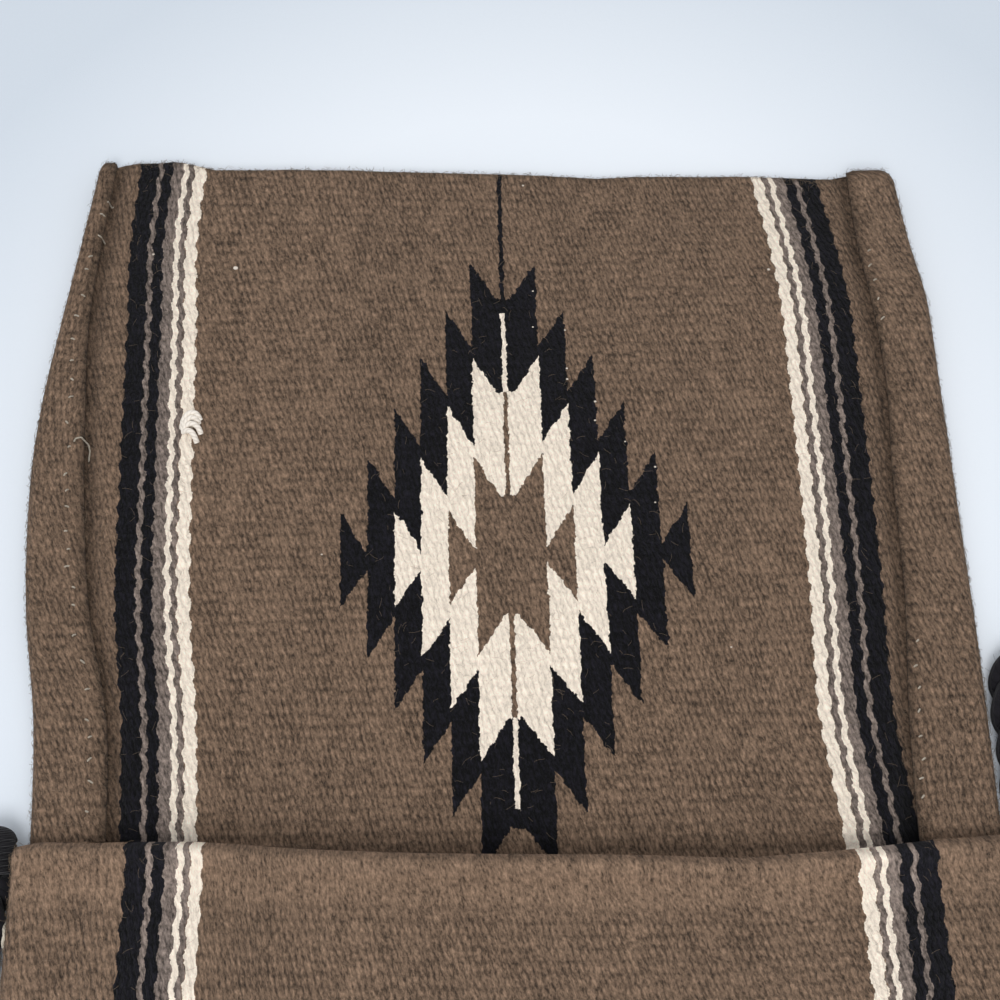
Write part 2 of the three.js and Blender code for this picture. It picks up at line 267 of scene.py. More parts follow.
# %% Curves and trees
def curve_object(name, paths):
    """A curve object with one poly spline for each path."""
    data = bpy.data.curves.new(name, "CURVE")
    data.dimensions = "3D"
    for path in paths:
        spline = data.splines.new("POLY")
        spline.points.add(len(path) - 1)
        for point, place in zip(spline.points, path):
            point.co = (*place, 1.0)
    piece = bpy.data.objects.new(name, data)
    bpy.context.scene.collection.objects.link(piece)
    return piece


def new_tree(name, sockets):
    """A geometry tree with one geometry in, one out, and the named inputs."""
    tree = bpy.data.node_groups.new(name, "GeometryNodeTree")
    tree.interface.new_socket("Geometry", in_out="INPUT", socket_type="NodeSocketGeometry")
    tree.interface.new_socket("Geometry", in_out="OUTPUT", socket_type="NodeSocketGeometry")
    for label, kind in sockets:
        tree.interface.new_socket(label, in_out="INPUT", socket_type="NodeSocket" + kind)
    return tree, add(tree, "NodeGroupInput").node.outputs


def run_tree(name, source, tree, **values):
    """Run a tree on an object with these inputs and return the result as a plain mesh object."""
    modifier = source.modifiers.new("build", "NODES")
    modifier.node_group = tree
    for item in tree.interface.items_tree:
        if item.in_out == "INPUT" and item.name in values:
            modifier[item.identifier] = values[item.name]
    bpy.context.view_layer.update()
    graph = bpy.context.evaluated_depsgraph_get()
    mesh = bpy.data.meshes.new_from_object(source.evaluated_get(graph))
    source.modifiers.remove(modifier)
    piece = bpy.data.objects.new(name, mesh)
    bpy.context.scene.collection.objects.link(piece)
    print(name, len(mesh.polygons), "faces")
    return piece


# %% [markdown]
# A plait follows a rule, so Geometry Nodes make it. Each strand swings from side to side once a
# turn and up and down twice, a third of a turn after the last one, and three strands that do so
# cross as a braid does. Both ends of the tree are shared with the plain yarns further on: a round
# section is swept along the line, and the distance along and the turn around are kept on the mesh
# for the material.

# %% Plait tree
def finish_yarn(tree, curve, profile, material):
    """Sweep the profile along the curve, keep both places as 'yarn' and set the material."""
    swept = add(tree, "GeometryNodeCurveToMesh",
                {"Curve": curve, "Profile Curve": profile, "Fill Caps": True})
    along = add(tree, "GeometryNodeInputNamedAttribute", {"Name": "along"},
                data_type="FLOAT")
    around = add(tree, "GeometryNodeInputNamedAttribute", {"Name": "around"},
                 data_type="FLOAT")
    place = add(tree, "ShaderNodeCombineXYZ", {0: along, 1: around})
    kept = add(tree, "GeometryNodeStoreNamedAttribute",
               {"Geometry": swept, "Name": "yarn", "Value": place},
               data_type="FLOAT_VECTOR", domain="POINT")
    soft = add(tree, "GeometryNodeSetShadeSmooth", {"Geometry": kept})
    real = add(tree, "GeometryNodeRealizeInstances", {"Geometry": soft})
    coloured = add(tree, "GeometryNodeSetMaterial", {"Geometry": real, "Material": material})
    add(tree, "NodeGroupOutput", {0: coloured})


plait_tree, plait_in = new_tree("plait", [
    ("Strand Radius", "Float"), ("Side Swing", "Float"), ("Rise Swing", "Float"),
    ("Turn Length", "Float"), ("Step", "Float"), ("Material", "Material"),
])


def build_plait_tree(tree, inputs):
    """Three strands that cross each other in turn along the curve."""
    even = add(tree, "GeometryNodeResampleCurve",
               {"Curve": inputs["Geometry"], "Length": inputs["Step"]}, mode="LENGTH")
    upright = add(tree, "GeometryNodeSetCurveNormal", {"Curve": even}, mode="Z_UP")
    copies = add(tree, "GeometryNodeDuplicateElements", {"Geometry": upright, "Amount": 3},
                 domain="SPLINE")
    along = add(tree, "GeometryNodeSplineParameter", out="Length")
    turns = add(tree, "ShaderNodeMath", {0: along, 1: inputs["Turn Length"]},
                operation="DIVIDE")
    shift = add(tree, "ShaderNodeMath", {0: copies.node.outputs["Duplicate Index"], 1: 3.0},
                operation="DIVIDE")
    phase = add(tree, "ShaderNodeMath", {0: turns, 1: shift}, operation="ADD")
    angle = add(tree, "ShaderNodeMath", {0: phase, 1: 2 * math.pi}, operation="MULTIPLY")
    double = add(tree, "ShaderNodeMath", {0: angle, 1: 2.0}, operation="MULTIPLY")
    side = add(tree, "ShaderNodeMath",
               {0: add(tree, "ShaderNodeMath", {0: angle}, operation="SINE"),
                1: inputs["Side Swing"]}, operation="MULTIPLY")
    rise = add(tree, "ShaderNodeMath",
               {0: add(tree, "ShaderNodeMath", {0: double}, operation="SINE"),
                1: inputs["Rise Swing"]}, operation="MULTIPLY")
    sideways = add(tree, "ShaderNodeVectorMath",
                   {0: add(tree, "GeometryNodeInputNormal"), "Scale": side},
                   operation="SCALE")
    offset = add(tree, "ShaderNodeVectorMath",
                 {0: sideways, 1: add(tree, "ShaderNodeCombineXYZ", {2: rise})},
                 operation="ADD")
    swung = add(tree, "GeometryNodeSetPosition", {"Geometry": copies, "Offset": offset})
    stored = add(tree, "GeometryNodeStoreNamedAttribute",
                 {"Geometry": swung, "Name": "along", "Value": along},
                 data_type="FLOAT", domain="POINT")
    ring = add(tree, "GeometryNodeCurvePrimitiveCircle",
               {"Resolution": 10, "Radius": inputs["Strand Radius"]})
    turn = add(tree, "GeometryNodeStoreNamedAttribute",
               {"Geometry": ring, "Name": "around",
                "Value": add(tree, "GeometryNodeSplineParameter", out="Factor")},
               data_type="FLOAT", domain="POINT")
    finish_yarn(tree, stored, turn, inputs["Material"])


build_plait_tree(plait_tree, plait_in)

# %% [markdown]
# Three strands 4.9 mm thick that swing 3.4 mm to each side make a braid about 12 mm wide, as
# thick as in the photo, and a turn of 34 mm gives the slope of its strands.

# %% Strap
strap_source = curve_object("strap_route", [strap_path])
strap = run_tree("braided_strap", strap_source, plait_tree, **{
    "Strand Radius": 2.45 * MM, "Side Swing": 3.4 * MM, "Rise Swing": 2.1 * MM,
    "Turn Length": 34 * MM, "Step": 1.3 * MM, "Material": black_wool_yarn,
})
bpy.data.objects.remove(strap_source)

# %% [markdown]
# The ends of the braid are whipped: black yarn is wound around them so that they can't open, and
# the wound end is sewn to the corner. The winding shows as rings, so the end is a profile with
# one round ridge for each turn, spun around its axis.

# %% Whipped strap ends
BINDING_RADIUS = 6.3 * MM
BINDING_SLACK = 0.4 * MM
BINDING_SIDES = 28
WINDING_PITCH = 1.9 * MM
WINDING_RIDGE = 0.55 * MM
WINDING_STEPS = 60
DOME_LENGTH = 4 * MM
DOME_INSET = 0.3 * MM


def winding_profile():
    """Radius and place along the axis: one ridge for each turn of yarn, then a domed tip."""
    body = BINDING_LENGTH - BINDING_SLACK
    straight = body - DOME_LENGTH
    profile = [(0.0, -body / 2)]
    for step in range(WINDING_STEPS + 1):
        share = step / WINDING_STEPS
        ridge = abs(math.sin(math.pi * share * straight / WINDING_PITCH))
        profile.append((BINDING_RADIUS - WINDING_RIDGE + WINDING_RIDGE * ridge,
                        -body / 2 + share * straight))
    for step in range(1, 9):
        angle = step * math.pi / 16
        profile.append(((BINDING_RADIUS - DOME_INSET) * math.cos(angle),
                        -body / 2 + straight + DOME_LENGTH * math.sin(angle)))
    return profile


def winding_rings(work, profile):
    """One ring of points for each point of the profile, or a single point on the axis."""
    places = work.verts.layers.float_vector.new("yarn")
    rings = []
    for radius, run in profile:
        if radius < 1e-6:
            rings.append([work.verts.new((0, run, 0))])
            continue
        ring = []
        for step in range(BINDING_SIDES):
            turn = 2 * math.pi * step / BINDING_SIDES
            vert = work.verts.new((radius * math.cos(turn), run, radius * math.sin(turn)))
            vert[places] = Vector((turn * radius, run / WINDING_PITCH, 0))
            ring.append(vert)
        rings.append(ring)
    return rings


def binding_piece(name, side, middle_y):
    """A wound plug with a domed tip that points away from the braid."""
    work = bmesh.new()
    rings = winding_rings(work, winding_profile())
    for one, other in zip(rings, rings[1:]):
        for step in range(BINDING_SIDES):
            after = (step + 1) % BINDING_SIDES
            if len(one) == 1:
                work.faces.new((one[0], other[after], other[step]))
            elif len(other) == 1:
                work.faces.new((one[step], one[after], other[0]))
            else:
                work.faces.new((one[step], one[after], other[after], other[step]))
    flip = 1 if side < 0 else -1
    for vert in work.verts:
        vert.co = Vector((vert.co.x, flip * vert.co.y, flip * vert.co.z))
        vert.co += Vector((side * BINDING_X, middle_y, BINDING_RISE)) * MM
    bmesh.ops.recalc_face_normals(work, faces=work.faces)
    mesh = bpy.data.meshes.new(name)
    work.to_mesh(mesh)
    work.free()
    mesh.shade_smooth()
    return link_object(name, mesh, black_wool_yarn)


binding_left = binding_piece("whipped_end_left", -1, LEFT_BINDING_Y)
binding_right = binding_piece("whipped_end_right", 1, RIGHT_BINDING_Y)
for piece, node in ((binding_left, "strap_binding_left"), (binding_right, "strap_binding_right")):
    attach(piece, "root")
    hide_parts(node)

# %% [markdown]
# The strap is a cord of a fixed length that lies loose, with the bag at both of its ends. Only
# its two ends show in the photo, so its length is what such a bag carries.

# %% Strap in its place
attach(strap, "root")
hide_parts("shoulder_strap")

# %% [markdown]
# ## The cloth's own map
#
# The cloth is woven flat, so every point of it is known by two numbers: u, how far it lies from
# the middle of the cloth, and v, how far it lies from the mouth along the flap, negative on the
# pouch. The mesh carries both in millimetres, and the weave, the stripes and the diamond are all
# drawn from them. The pattern then follows each fold by itself, on both faces, as it does on
# real tapestry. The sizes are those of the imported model, in millimetres.

# %% Cloth sizes
CLOTH_THICKNESS = 3.0
LAYER_GAP = 0.3
HALF_WIDTH = 150.0
POUCH_HEIGHT = 300.0
FLAP_LENGTH = 243.0
FLAP_END_SLANT = 6.0
HEM_WIDTH = 21.0
POUCH_CROWN = 7.0
FLAP_SWELL = 2.2
LEFT_HEM_CURL = 3.0
HEMMED = 2 * CLOTH_THICKNESS + LAYER_GAP
SIDE_HEIGHT = 2 * HEMMED + LAYER_GAP
FOLD_RADIUS = SIDE_HEIGHT / 2
HEM_LINE = HALF_WIDTH - HEM_WIDTH
WARP_PITCH = 3.75
RIB_HEIGHT = 0.42
ROWS_PER_WARP = 4
ROW_STEP = WARP_PITCH / ROWS_PER_WARP
MOUTH_BEAD = 2.4
MOUTH_BEAD_LENGTH = 7.0
HEM_SINK = 1.2
VALLEY_DEPTH = 2.2
VALLEY_WIDTH = 2.8
VALLEY_OFF = 1.2
RIM_RADIUS = 2.9
CORNER_RADIUS = 5.0
FREE_RIM_LENGTH = 2.5
FREE_RIM_DROP = 1.2

# %% [markdown]
# The flap's outline is read off the photo at eight stations from the mouth to the free end: how
# far each edge bellies out, how wide each hem is, and how far the stripes are pulled outwards. A
# smooth curve goes through each list.

# %% Outline of the flap
STATIONS = [0, 0.17, 0.33, 0.5, 0.62, 0.76, 0.87, 1]
LEFT_BELLY = [-2.8, -0.5, 5, 7.7, 6.3, 1.9, -2.5, -6.7]
LEFT_HEM_SHARE = [1.08, 1.08, 0.94, 0.84, 0.68, 0.4, 0.28, 0.23]
RIGHT_BELLY = [0, 1, 1.5, 1.5, 1.5, 1.3, -1.7, -4.2]
RIGHT_HEM_SHARE = [1.2, 1.15, 1, 0.95, 0.86, 0.91, 0.88, 0.79]
# How far the stripes are pulled outwards at the same stations
LEFT_PULL = [-3.2, -1.2, 3.1, 4.6, 5.4, 6.3, 7.4, 5.6]
RIGHT_PULL = [2.2, -1.7, -0.3, 0.3, 0.4, 0.5, -1.8, -5.6]
STRIPE_SPAN = (99.4, 123.4)
# The same pulls where the front ends at the mouth
MOUTH_PULL = (-8.6, 2.5)
# Uneven edges, as (x, how far the edge lies ahead): the flap's free end and the mouth
FLAP_END_WAVE = [(-146, -1.4), (-141, -0.4), (-137, 1.5), (-132, 2.3), (-127, 2.8),
                 (-117, 3.6), (-108, 1.2), (-98, -1.2), (-60, -0.3), (-36, -1.1), (-20, -0.6),
                 (36, -1.2), (73, 0.2), (100, -0.7), (118, -2.9), (131, -0.2), (145, 0)]
MOUTH_WAVE = [(-150, 3.2), (-142, 4.6), (-91, 3.0), (-68, 0.4), (-34, -2.0), (34, -4.2),
              (68, -6.0), (102, -4.2), (128, -1.6), (150, -0.6)]


def smooth_step(value, low, high):
    """0 below low, 1 above high, and a soft ramp between them."""
    share = np.clip((value - low) / (high - low), 0, 1)
    return share * share * (3 - 2 * share)


def outline_at(values, distance):
    """A smooth curve through an outline's values, read at one distance from the mouth."""
    last = len(STATIONS) - 1
    share = min(max(distance / FLAP_LENGTH, 0), 1)
    index = 0
    while index < last - 1 and share > STATIONS[index + 1]:
        index += 1
    before, here = values[max(index - 1, 0)], values[index]
    after, beyond = values[index + 1], values[min(index + 2, last)]
    t = (share - STATIONS[index]) / (STATIONS[index + 1] - STATIONS[index])
    leave, arrive = 0.5 * (after - before), 0.5 * (beyond - here)
    cube, square = t ** 3, t ** 2
    return ((2 * cube - 3 * square + 1) * here + (cube - 2 * square + t) * leave
            + (3 * square - 2 * cube) * after + (cube - square) * arrive)


def flap_edges(distance):
    """Left edge, left hem line, left stripe pull, and the same on the right."""
    left = HALF_WIDTH + outline_at(LEFT_BELLY, distance)
    right = HALF_WIDTH + outline_at(RIGHT_BELLY, distance)
    return (left, left - HEM_WIDTH * outline_at(LEFT_HEM_SHARE, distance),
            outline_at(LEFT_PULL, distance),
            right, right - HEM_WIDTH * outline_at(RIGHT_HEM_SHARE, distance),
            outline_at(RIGHT_PULL, distance))


print("flap, mm wide at the mouth, the middle and the free end",
      [round(flap_edges(at)[0] + flap_edges(at)[3]) for at in (0, FLAP_LENGTH / 2, FLAP_LENGTH)])

# %% [markdown]
# ## One cut across the cloth
#
# A cut across the cloth is one closed line: along the outer face, around the right fold, in over
# the turned hem, around its raw end, back under it and across the inner face, and the same on
# the left. It is worked out once as places u and heights w, and each row of the mesh sets it
# down where that row lies.

# %% Section of the cloth
EDGE_SHARE = 0.13
EDGE_COLUMNS = 14
MIDDLE_COLUMNS = 16
FOLD_STEPS = 8
TURN = HEMMED / 2


def hem_section():
    """The turned hem from outside in, as (kind, share, turn done, share of its flat part)."""
    half = [("fold", -0.5 + step / FOLD_STEPS, step / FOLD_STEPS, 0.0)
            for step in range(FOLD_STEPS + 1)]
    half += [("top", share, 1.0, share) for share in (0.2, 0.4, 0.6, 0.8, 0.92)]
    half += [("end", share, 1.0, 1.0) for share in (1.0, 0.5, 0.0)]
    half += [("under", share, 1.0, share) for share in (0.75, 0.4, 0.0)]
    return half


def section():
    """The whole cut, in order, as (kind, share, turn, flat share, side)."""
    hem = hem_section()
    near = [EDGE_SHARE * step / EDGE_COLUMNS for step in range(EDGE_COLUMNS)]
    middle = [EDGE_SHARE + (1 - 2 * EDGE_SHARE) * step / MIDDLE_COLUMNS
              for step in range(MIDDLE_COLUMNS + 1)]
    shares = near + middle + [1 - share for share in reversed(near)]
    return ([(*point, 1) for point in hem]
            + [("inner", 1 - share, 0.0, 0.0, 0) for share in shares]
            + [(*point, -1) for point in reversed(hem)]
            + [("outer", share, 0.0, 0.0, 0) for share in shares[1:-1]])


SECTION = section()
print("points in one cut", len(SECTION))

# %% [markdown]
# ## Ribs, swells and creases
#
# The warps lie side by side like cords inside the cloth, 3.75 mm apart, and the weft goes round
# them, so both faces are ribbed from side to side. The ribs are real relief here, with four rows
# of the mesh to each. Over them lie the slow forms: the flap's swells, the crown of the slack
# front, the curl of the left hem, and small dents. Noise from a fixed table keeps every run the
# same.

# %% Relief
dents = np.random.default_rng(7)
DENT_WAVES = [
    (dents.uniform(0.012, 0.055), dents.uniform(0, 2 * math.pi), dents.uniform(0, 2 * math.pi),
     dents.uniform(0.3, 1.0))
    for _ in range(18)
]


def dent(x, y):
    """Smooth uneven height in millimetres, about -1 to 1."""
    total = np.zeros_like(x)
    weight = 0.0
    for pace, way, start, size in DENT_WAVES:
        total += size * np.sin(pace * 2 * (x * math.cos(way) + y * math.sin(way)) + start)
        weight += size
    return total / weight * 2.2


def flap_rise(x, distance, edges):
    """How far the flap swells up from the table, and its left hem curls."""
    left, left_hem = edges[0], edges[1]
    away = smooth_step(distance, 25, 90)
    across = np.sin((x / HALF_WIDTH) * math.pi * 1.5 + 0.6)
    along = math.sin(distance / FLAP_LENGTH * math.pi * 1.8)
    swell = FLAP_SWELL * away * (0.55 + 0.45 * across * along)
    beyond = np.clip((-x - left_hem) / (left - left_hem), 0, 1)
    return swell + LEFT_HEM_CURL * smooth_step(distance, 110, 215) * beyond ** 2


def front_rise(x, y):
    """The crown of the slack front over the back."""
    across = np.maximum(1 - (x / HEM_LINE) ** 2, 0)
    from_fold = smooth_step(y, -POUCH_HEIGHT + FOLD_RADIUS, -POUCH_HEIGHT + 110)
    to_mouth = 1 - 0.35 * smooth_step(y, -110, 0)
    return POUCH_CROWN * across * (2 - across) * from_fold * to_mouth


def rib(v):
    """Height of the ribs at v, from 0 in the grooves to 1 on the warps."""
    share = v / WARP_PITCH - math.floor(v / WARP_PITCH)
    return math.sqrt(max(1 - (2 * share - 1) ** 2, 0))


print("ribs on the flap", round(FLAP_LENGTH / WARP_PITCH))

# %% [markdown]
# ## Laying the rows down
#
# Each row of the mesh is the cut, stretched between the edges that the cloth has there. The
# thickness of the layers stays, the flat parts between them give. A valley lies beside each hem,
# where the cloth sinks under the hem's raw end, and the mesh keeps how deep in it each point
# lies, so that the material can paint shade into the wool there.

# %% One cut in its place
def cloth_u(x, edges):
    """The cloth's own u at x. The stripes keep their widths however far they are pulled."""
    left_pull, right_pull = edges[2], edges[5]
    near, far = STRIPE_SPAN
    xs = [-400, -far - left_pull, -near - left_pull, -60, 60, near + right_pull,
          far + right_pull, 400]
    us = [left_pull - 400, -far, -near, -60, 60, near, far, 400 - right_pull]
    return float(np.interp(x, xs, us))


def valley(x, left_hem, right_hem):
    """How deep in the valley beside a hem x lies, from 0 to 1."""
    off = min(abs(x - right_hem + VALLEY_OFF), abs(x + left_hem - VALLEY_OFF))
    return math.exp(-(off / VALLEY_WIDTH) ** 2)


def place_section(edges, groove_inner, groove_outer, bead):
    """x, w, u, face and painted valley shade of one cut, with its edges where they lie in this row.
    """
    left, left_hem, _, right, right_hem, _ = edges
    outer = groove_outer - bead
    inner = CLOTH_THICKNESS - groove_inner
    low = CLOTH_THICKNESS + LAYER_GAP
    high = HEMMED - groove_inner
    start, stop = -left + TURN, right - TURN
    points = []
    for kind, share, turn, flat, side in SECTION:
        edge, hem = (right, right_hem) if side > 0 else (left, left_hem)
        if kind == "fold":
            radius = (high - outer) / 2
            x = side * (edge - radius + radius * math.cos(math.pi * share))
            w = (high + outer) / 2 + radius * math.sin(math.pi * share)
        elif kind in ("top", "under"):
            x = side * (edge - TURN + (hem - edge + TURN) * share)
            sunk = HEM_SINK * smooth_step(share, 0.72, 1) if kind == "top" else 0
            w = low if kind == "under" else high - sunk
        elif kind == "end":
            x = side * (hem - LAYER_GAP)
            w = low + (high - HEM_SINK - low) * share
        else:
            x = start + (stop - start) * share
            sunk = VALLEY_DEPTH * valley(x, left_hem, right_hem)
            w = inner - sunk if kind == "inner" else outer
        if side:
            beyond = math.pi * TURN * turn + (edge - TURN - hem) * flat
            u = cloth_u(stop if side > 0 else start, edges) + side * beyond
        else:
            u = cloth_u(x, edges)
        face = 1.0 if kind in ("inner", "under") else -1.0
        # Painted shade: every part but the outer face is darkened as deep as it lies in the valley
        # beside a hem
        crease_shade = 0.0 if kind == "outer" else valley(x, left_hem, right_hem)
        points.append((x, w, u, face, crease_shade))
    return np.array(points).T


def blend_edges(one, other, share):
    """Edges part of the way from one row's to another's."""
    return tuple(a + (b - a) * share for a, b in zip(one, other))


# %% [markdown]
# The rows run from the flap's free end to the mouth. The free end was cut from the loom: it runs
# a little askew, its corners and its rim are round, and its line is ragged.

# %% Rows of the flap
def round_end(distance):
    """How far the corners are cut back and the rim is thinned, near the free end."""
    to_end = FLAP_LENGTH - distance
    corner = min(max(1 - to_end / CORNER_RADIUS, 0), 0.97)
    rim = max(1 - to_end / FREE_RIM_LENGTH, 0)
    return (CORNER_RADIUS * (1 - math.sqrt(1 - corner ** 2)),
            FREE_RIM_DROP * (1 - math.sqrt(1 - rim ** 2)))


def flap_row(distance):
    """One row of the flap, as (points, u, v, face, painted valley shade)."""
    left, left_hem, left_pull, right, right_hem, right_pull = flap_edges(distance)
    corner, rim = round_end(distance)
    edges = (left - 0.5 * corner, left_hem, left_pull, right - corner, right_hem, right_pull)
    groove = RIB_HEIGHT * (1 - rib(distance))
    x, w, u, face, crease_shade = place_section(
        edges, groove + rim, groove * smooth_step(distance, 2, 12) + rim, 0)
    dents_here = dent(x, np.full_like(x, distance))
    slant = FLAP_END_SLANT * smooth_step(distance, FLAP_LENGTH * 0.7, FLAP_LENGTH)
    ragged = (np.interp(x, *zip(*FLAP_END_WAVE)) + 0.5 * dent(x * 5, x * 0 + 400)) * (
        smooth_step(distance, FLAP_LENGTH - 40, FLAP_LENGTH))
    y = distance - slant * x / HALF_WIDTH + 0.5 * dents_here
    z = w + flap_rise(x, distance, edges) + (
        0.55 * smooth_step(distance, 5, 40) * (dents_here + 0.9))
    return np.stack([x, y + ragged, z], 1), u, distance, face, crease_shade


flap_count = round(FLAP_LENGTH / ROW_STEP)
rows = [flap_row(FLAP_LENGTH * (1 - index / flap_count)) for index in range(flap_count + 1)]
print("rows of the flap", len(rows))

# %% [markdown]
# Behind the mouth the back lies flat on the table, and its edges soon run straight. At the bottom
# the cloth turns around a half circle, so wide that the hems have room inside it.

# %% Rows of the back and the bottom fold
BACK_ROWS = 60
FOLD_ROWS = 16
FOLD_Y = -POUCH_HEIGHT + FOLD_RADIUS
STRAIGHT_FROM = 98
STRAIGHT_EDGES = (HALF_WIDTH, HEM_LINE, 0.0, HALF_WIDTH, HEM_LINE, 0.0)


def back_row(y):
    """One row of the back."""
    edges = blend_edges(flap_edges(0), STRAIGHT_EDGES, min(-y / STRAIGHT_FROM, 1))
    x, w, u, face, crease_shade = place_section(edges, 0, 0, 0)
    return np.stack([x, np.full_like(x, y), w], 1), u, y, face, crease_shade


def fold_row(angle):
    """One row of the bottom fold."""
    x, w, u, face, crease_shade = place_section(STRAIGHT_EDGES, 0, 0, 0)
    radius = FOLD_RADIUS - w
    points = np.stack([x, FOLD_Y - radius * math.sin(angle),
                       FOLD_RADIUS - radius * math.cos(angle)], 1)
    return points, u, FOLD_Y - FOLD_RADIUS * angle, face, crease_shade


rows += [back_row(FOLD_Y * index / BACK_ROWS) for index in range(1, BACK_ROWS + 1)]
rows += [fold_row(math.pi * index / FOLD_ROWS) for index in range(1, FOLD_ROWS + 1)]
print("rows down to the front", len(rows))

# %% [markdown]
# The front is slack and lies in a low crown over the back. At the mouth the last warps are
# bundled into a selvedge, which is why its edge is thick and round, and it sags in the middle.

# %% Rows of the front
MOUTH_EDGES = (HALF_WIDTH, HEM_LINE, MOUTH_PULL[0], HALF_WIDTH, HEM_LINE, MOUTH_PULL[1])


def front_row(y):
    """One row of the front."""
    v = FOLD_Y - math.pi * FOLD_RADIUS - (y - FOLD_Y)
    share = min(max(1 + y / MOUTH_BEAD_LENGTH, 0), 1)
    bead = MOUTH_BEAD * math.sin(math.pi * min(share + 0.05, 0.93)) if share else 0.0
    rim = max(1 + y / RIM_RADIUS, 0)
    bead -= RIM_RADIUS * (1 - math.sqrt(max(1 - rim ** 2, 0)))
    groove = RIB_HEIGHT * (1 - rib(v)) * (1 - 0.7 * min(share * 3, 1))
    edges = blend_edges(STRAIGHT_EDGES, MOUTH_EDGES, smooth_step(y, -POUCH_HEIGHT, 0))
    x, w, u, face, crease_shade = place_section(edges, 0, groove, bead)
    calm = np.clip(1 - np.abs(x) / HALF_WIDTH, 0, 1) ** 0.5
    z = SIDE_HEIGHT - w + front_rise(x, np.full_like(x, y)) + (
        0.6 * calm * dent(x + 300, np.full_like(x, y)) * smooth_step(y, FOLD_Y, FOLD_Y + 60))
    wavy = np.interp(x, *zip(*MOUTH_WAVE)) * smooth_step(y, -70, 0)
    return np.stack([x, y + wavy, z], 1), u, v, face, crease_shade


front_count = round(-FOLD_Y / ROW_STEP)
rows += [front_row(FOLD_Y * (1 - index / front_count)) for index in range(1, front_count + 1)]
print("rows in all", len(rows))

# %% [markdown]
# The rows are joined by quads, each point to the same point of the next row, and the two open
# ends are closed by flat caps. The cloth's own map goes on the mesh as the attribute "cloth".

# %% Cloth mesh
def cap_faces(row):
    """Triangles that close the cut at the end of the cloth."""
    outline = [Vector((x, w, 0)) for x, w in row[0][:, [0, 2]]]
    return [tuple(face) for face in tessellate_polygon([outline])]


def cloth_mesh(name, rows):
    """A closed mesh from the rows, with the cloth's map and the painted valley shade on its points.
    """
    count = len(rows[0][0])
    points = np.concatenate([row[0] for row in rows]) * MM
    index = np.arange(count)
    after = np.roll(index, -1)
    bands = []
    for row in range(len(rows) - 1):
        a, b = index + row * count, after + row * count
        bands.append(np.stack([a, a + count, b + count, b], 1))
    faces = np.concatenate(bands).tolist()
    caps = cap_faces(rows[0])
    last = (len(rows) - 1) * count
    faces += [tuple(reversed(face)) for face in caps]
    faces += [tuple(corner + last for corner in face) for face in caps]
    mesh = bpy.data.meshes.new(name)
    mesh.from_pydata(points.tolist(), [], faces)
    places = np.concatenate([
        np.stack([row[1], np.full(count, row[2]), row[3]], 1) for row in rows
    ])
    layer = mesh.attributes.new("cloth", "FLOAT_VECTOR", "POINT")
    layer.data.foreach_set("vector", places.astype(np.float32).ravel())
    # How much painted shade the valley beside a hem puts on each point
    layer = mesh.attributes.new("crease_shade", "FLOAT", "POINT")
    layer.data.foreach_set("value", np.concatenate([row[4] for row in rows]).astype(np.float32))
    mesh.shade_smooth()
    work = bmesh.new()
    work.from_mesh(mesh)
    bmesh.ops.recalc_face_normals(work, faces=work.faces)
    work.to_mesh(mesh)
    work.free()
    return mesh


cloth_data = cloth_mesh("wool_cloth", rows)
print("cloth", len(cloth_data.vertices), "points", len(cloth_data.polygons), "faces")

# %% [markdown]
# ## Weft-faced tapestry
#
# In this weave the weft covers the warps completely. Each pick goes over one warp and under the
# next, so the surface is made of small grains, one warp long and about 2 mm wide, and each row
# of grains sits half a grain beside the last. The material finds the nearest grain for every
# point, which gives the point its tone, and its distance from the grain's middle, which gives
# the shade between the grains and their relief. A picture of a weave would repeat, and grains
# modelled one by one would be a hundred thousand pieces.

# %% Grains
GRAIN_WIDTH = 2.2
GRAIN_SLANT = 0.26


def math_node(tree, operation, *values):
    """One sum in a material; each value is a number or a socket."""
    return add(tree, "ShaderNodeMath", dict(enumerate(values)), operation=operation)


def vector_node(tree, operation, one, other):
    """One sum of two vectors in a material."""
    return add(tree, "ShaderNodeVectorMath", {0: one, 1: other}, operation=operation)


def separate(tree, vector):
    """The three numbers of a vector, each as a socket."""
    return add(tree, "ShaderNodeSeparateXYZ", {0: vector}).node.outputs


def noise(tree, place, stretch, detail=2.0, roughness=0.5, out=0):
    """Noise whose patches are about as many millimetres across as 'stretch' says."""
    scaled = vector_node(tree, "MULTIPLY", place, tuple(1 / s if s else 0.0 for s in stretch))
    return add(tree, "ShaderNodeTexNoise",
               {"Vector": scaled, "Scale": 1.0, "Detail": detail, "Roughness": roughness},
               out=out)


def shaken(tree, place, patch, reach, detail=2.0, roughness=0.5):
    """An uneven shift: it differs from patch to patch, and 'reach' is its greatest spread."""
    drift = noise(tree, place, (*patch, 0), detail, roughness, out="Color")
    centred = vector_node(tree, "SUBTRACT", drift, (0.5, 0.5, 0.5))
    return vector_node(tree, "MULTIPLY", centred, (*reach, 0.0))


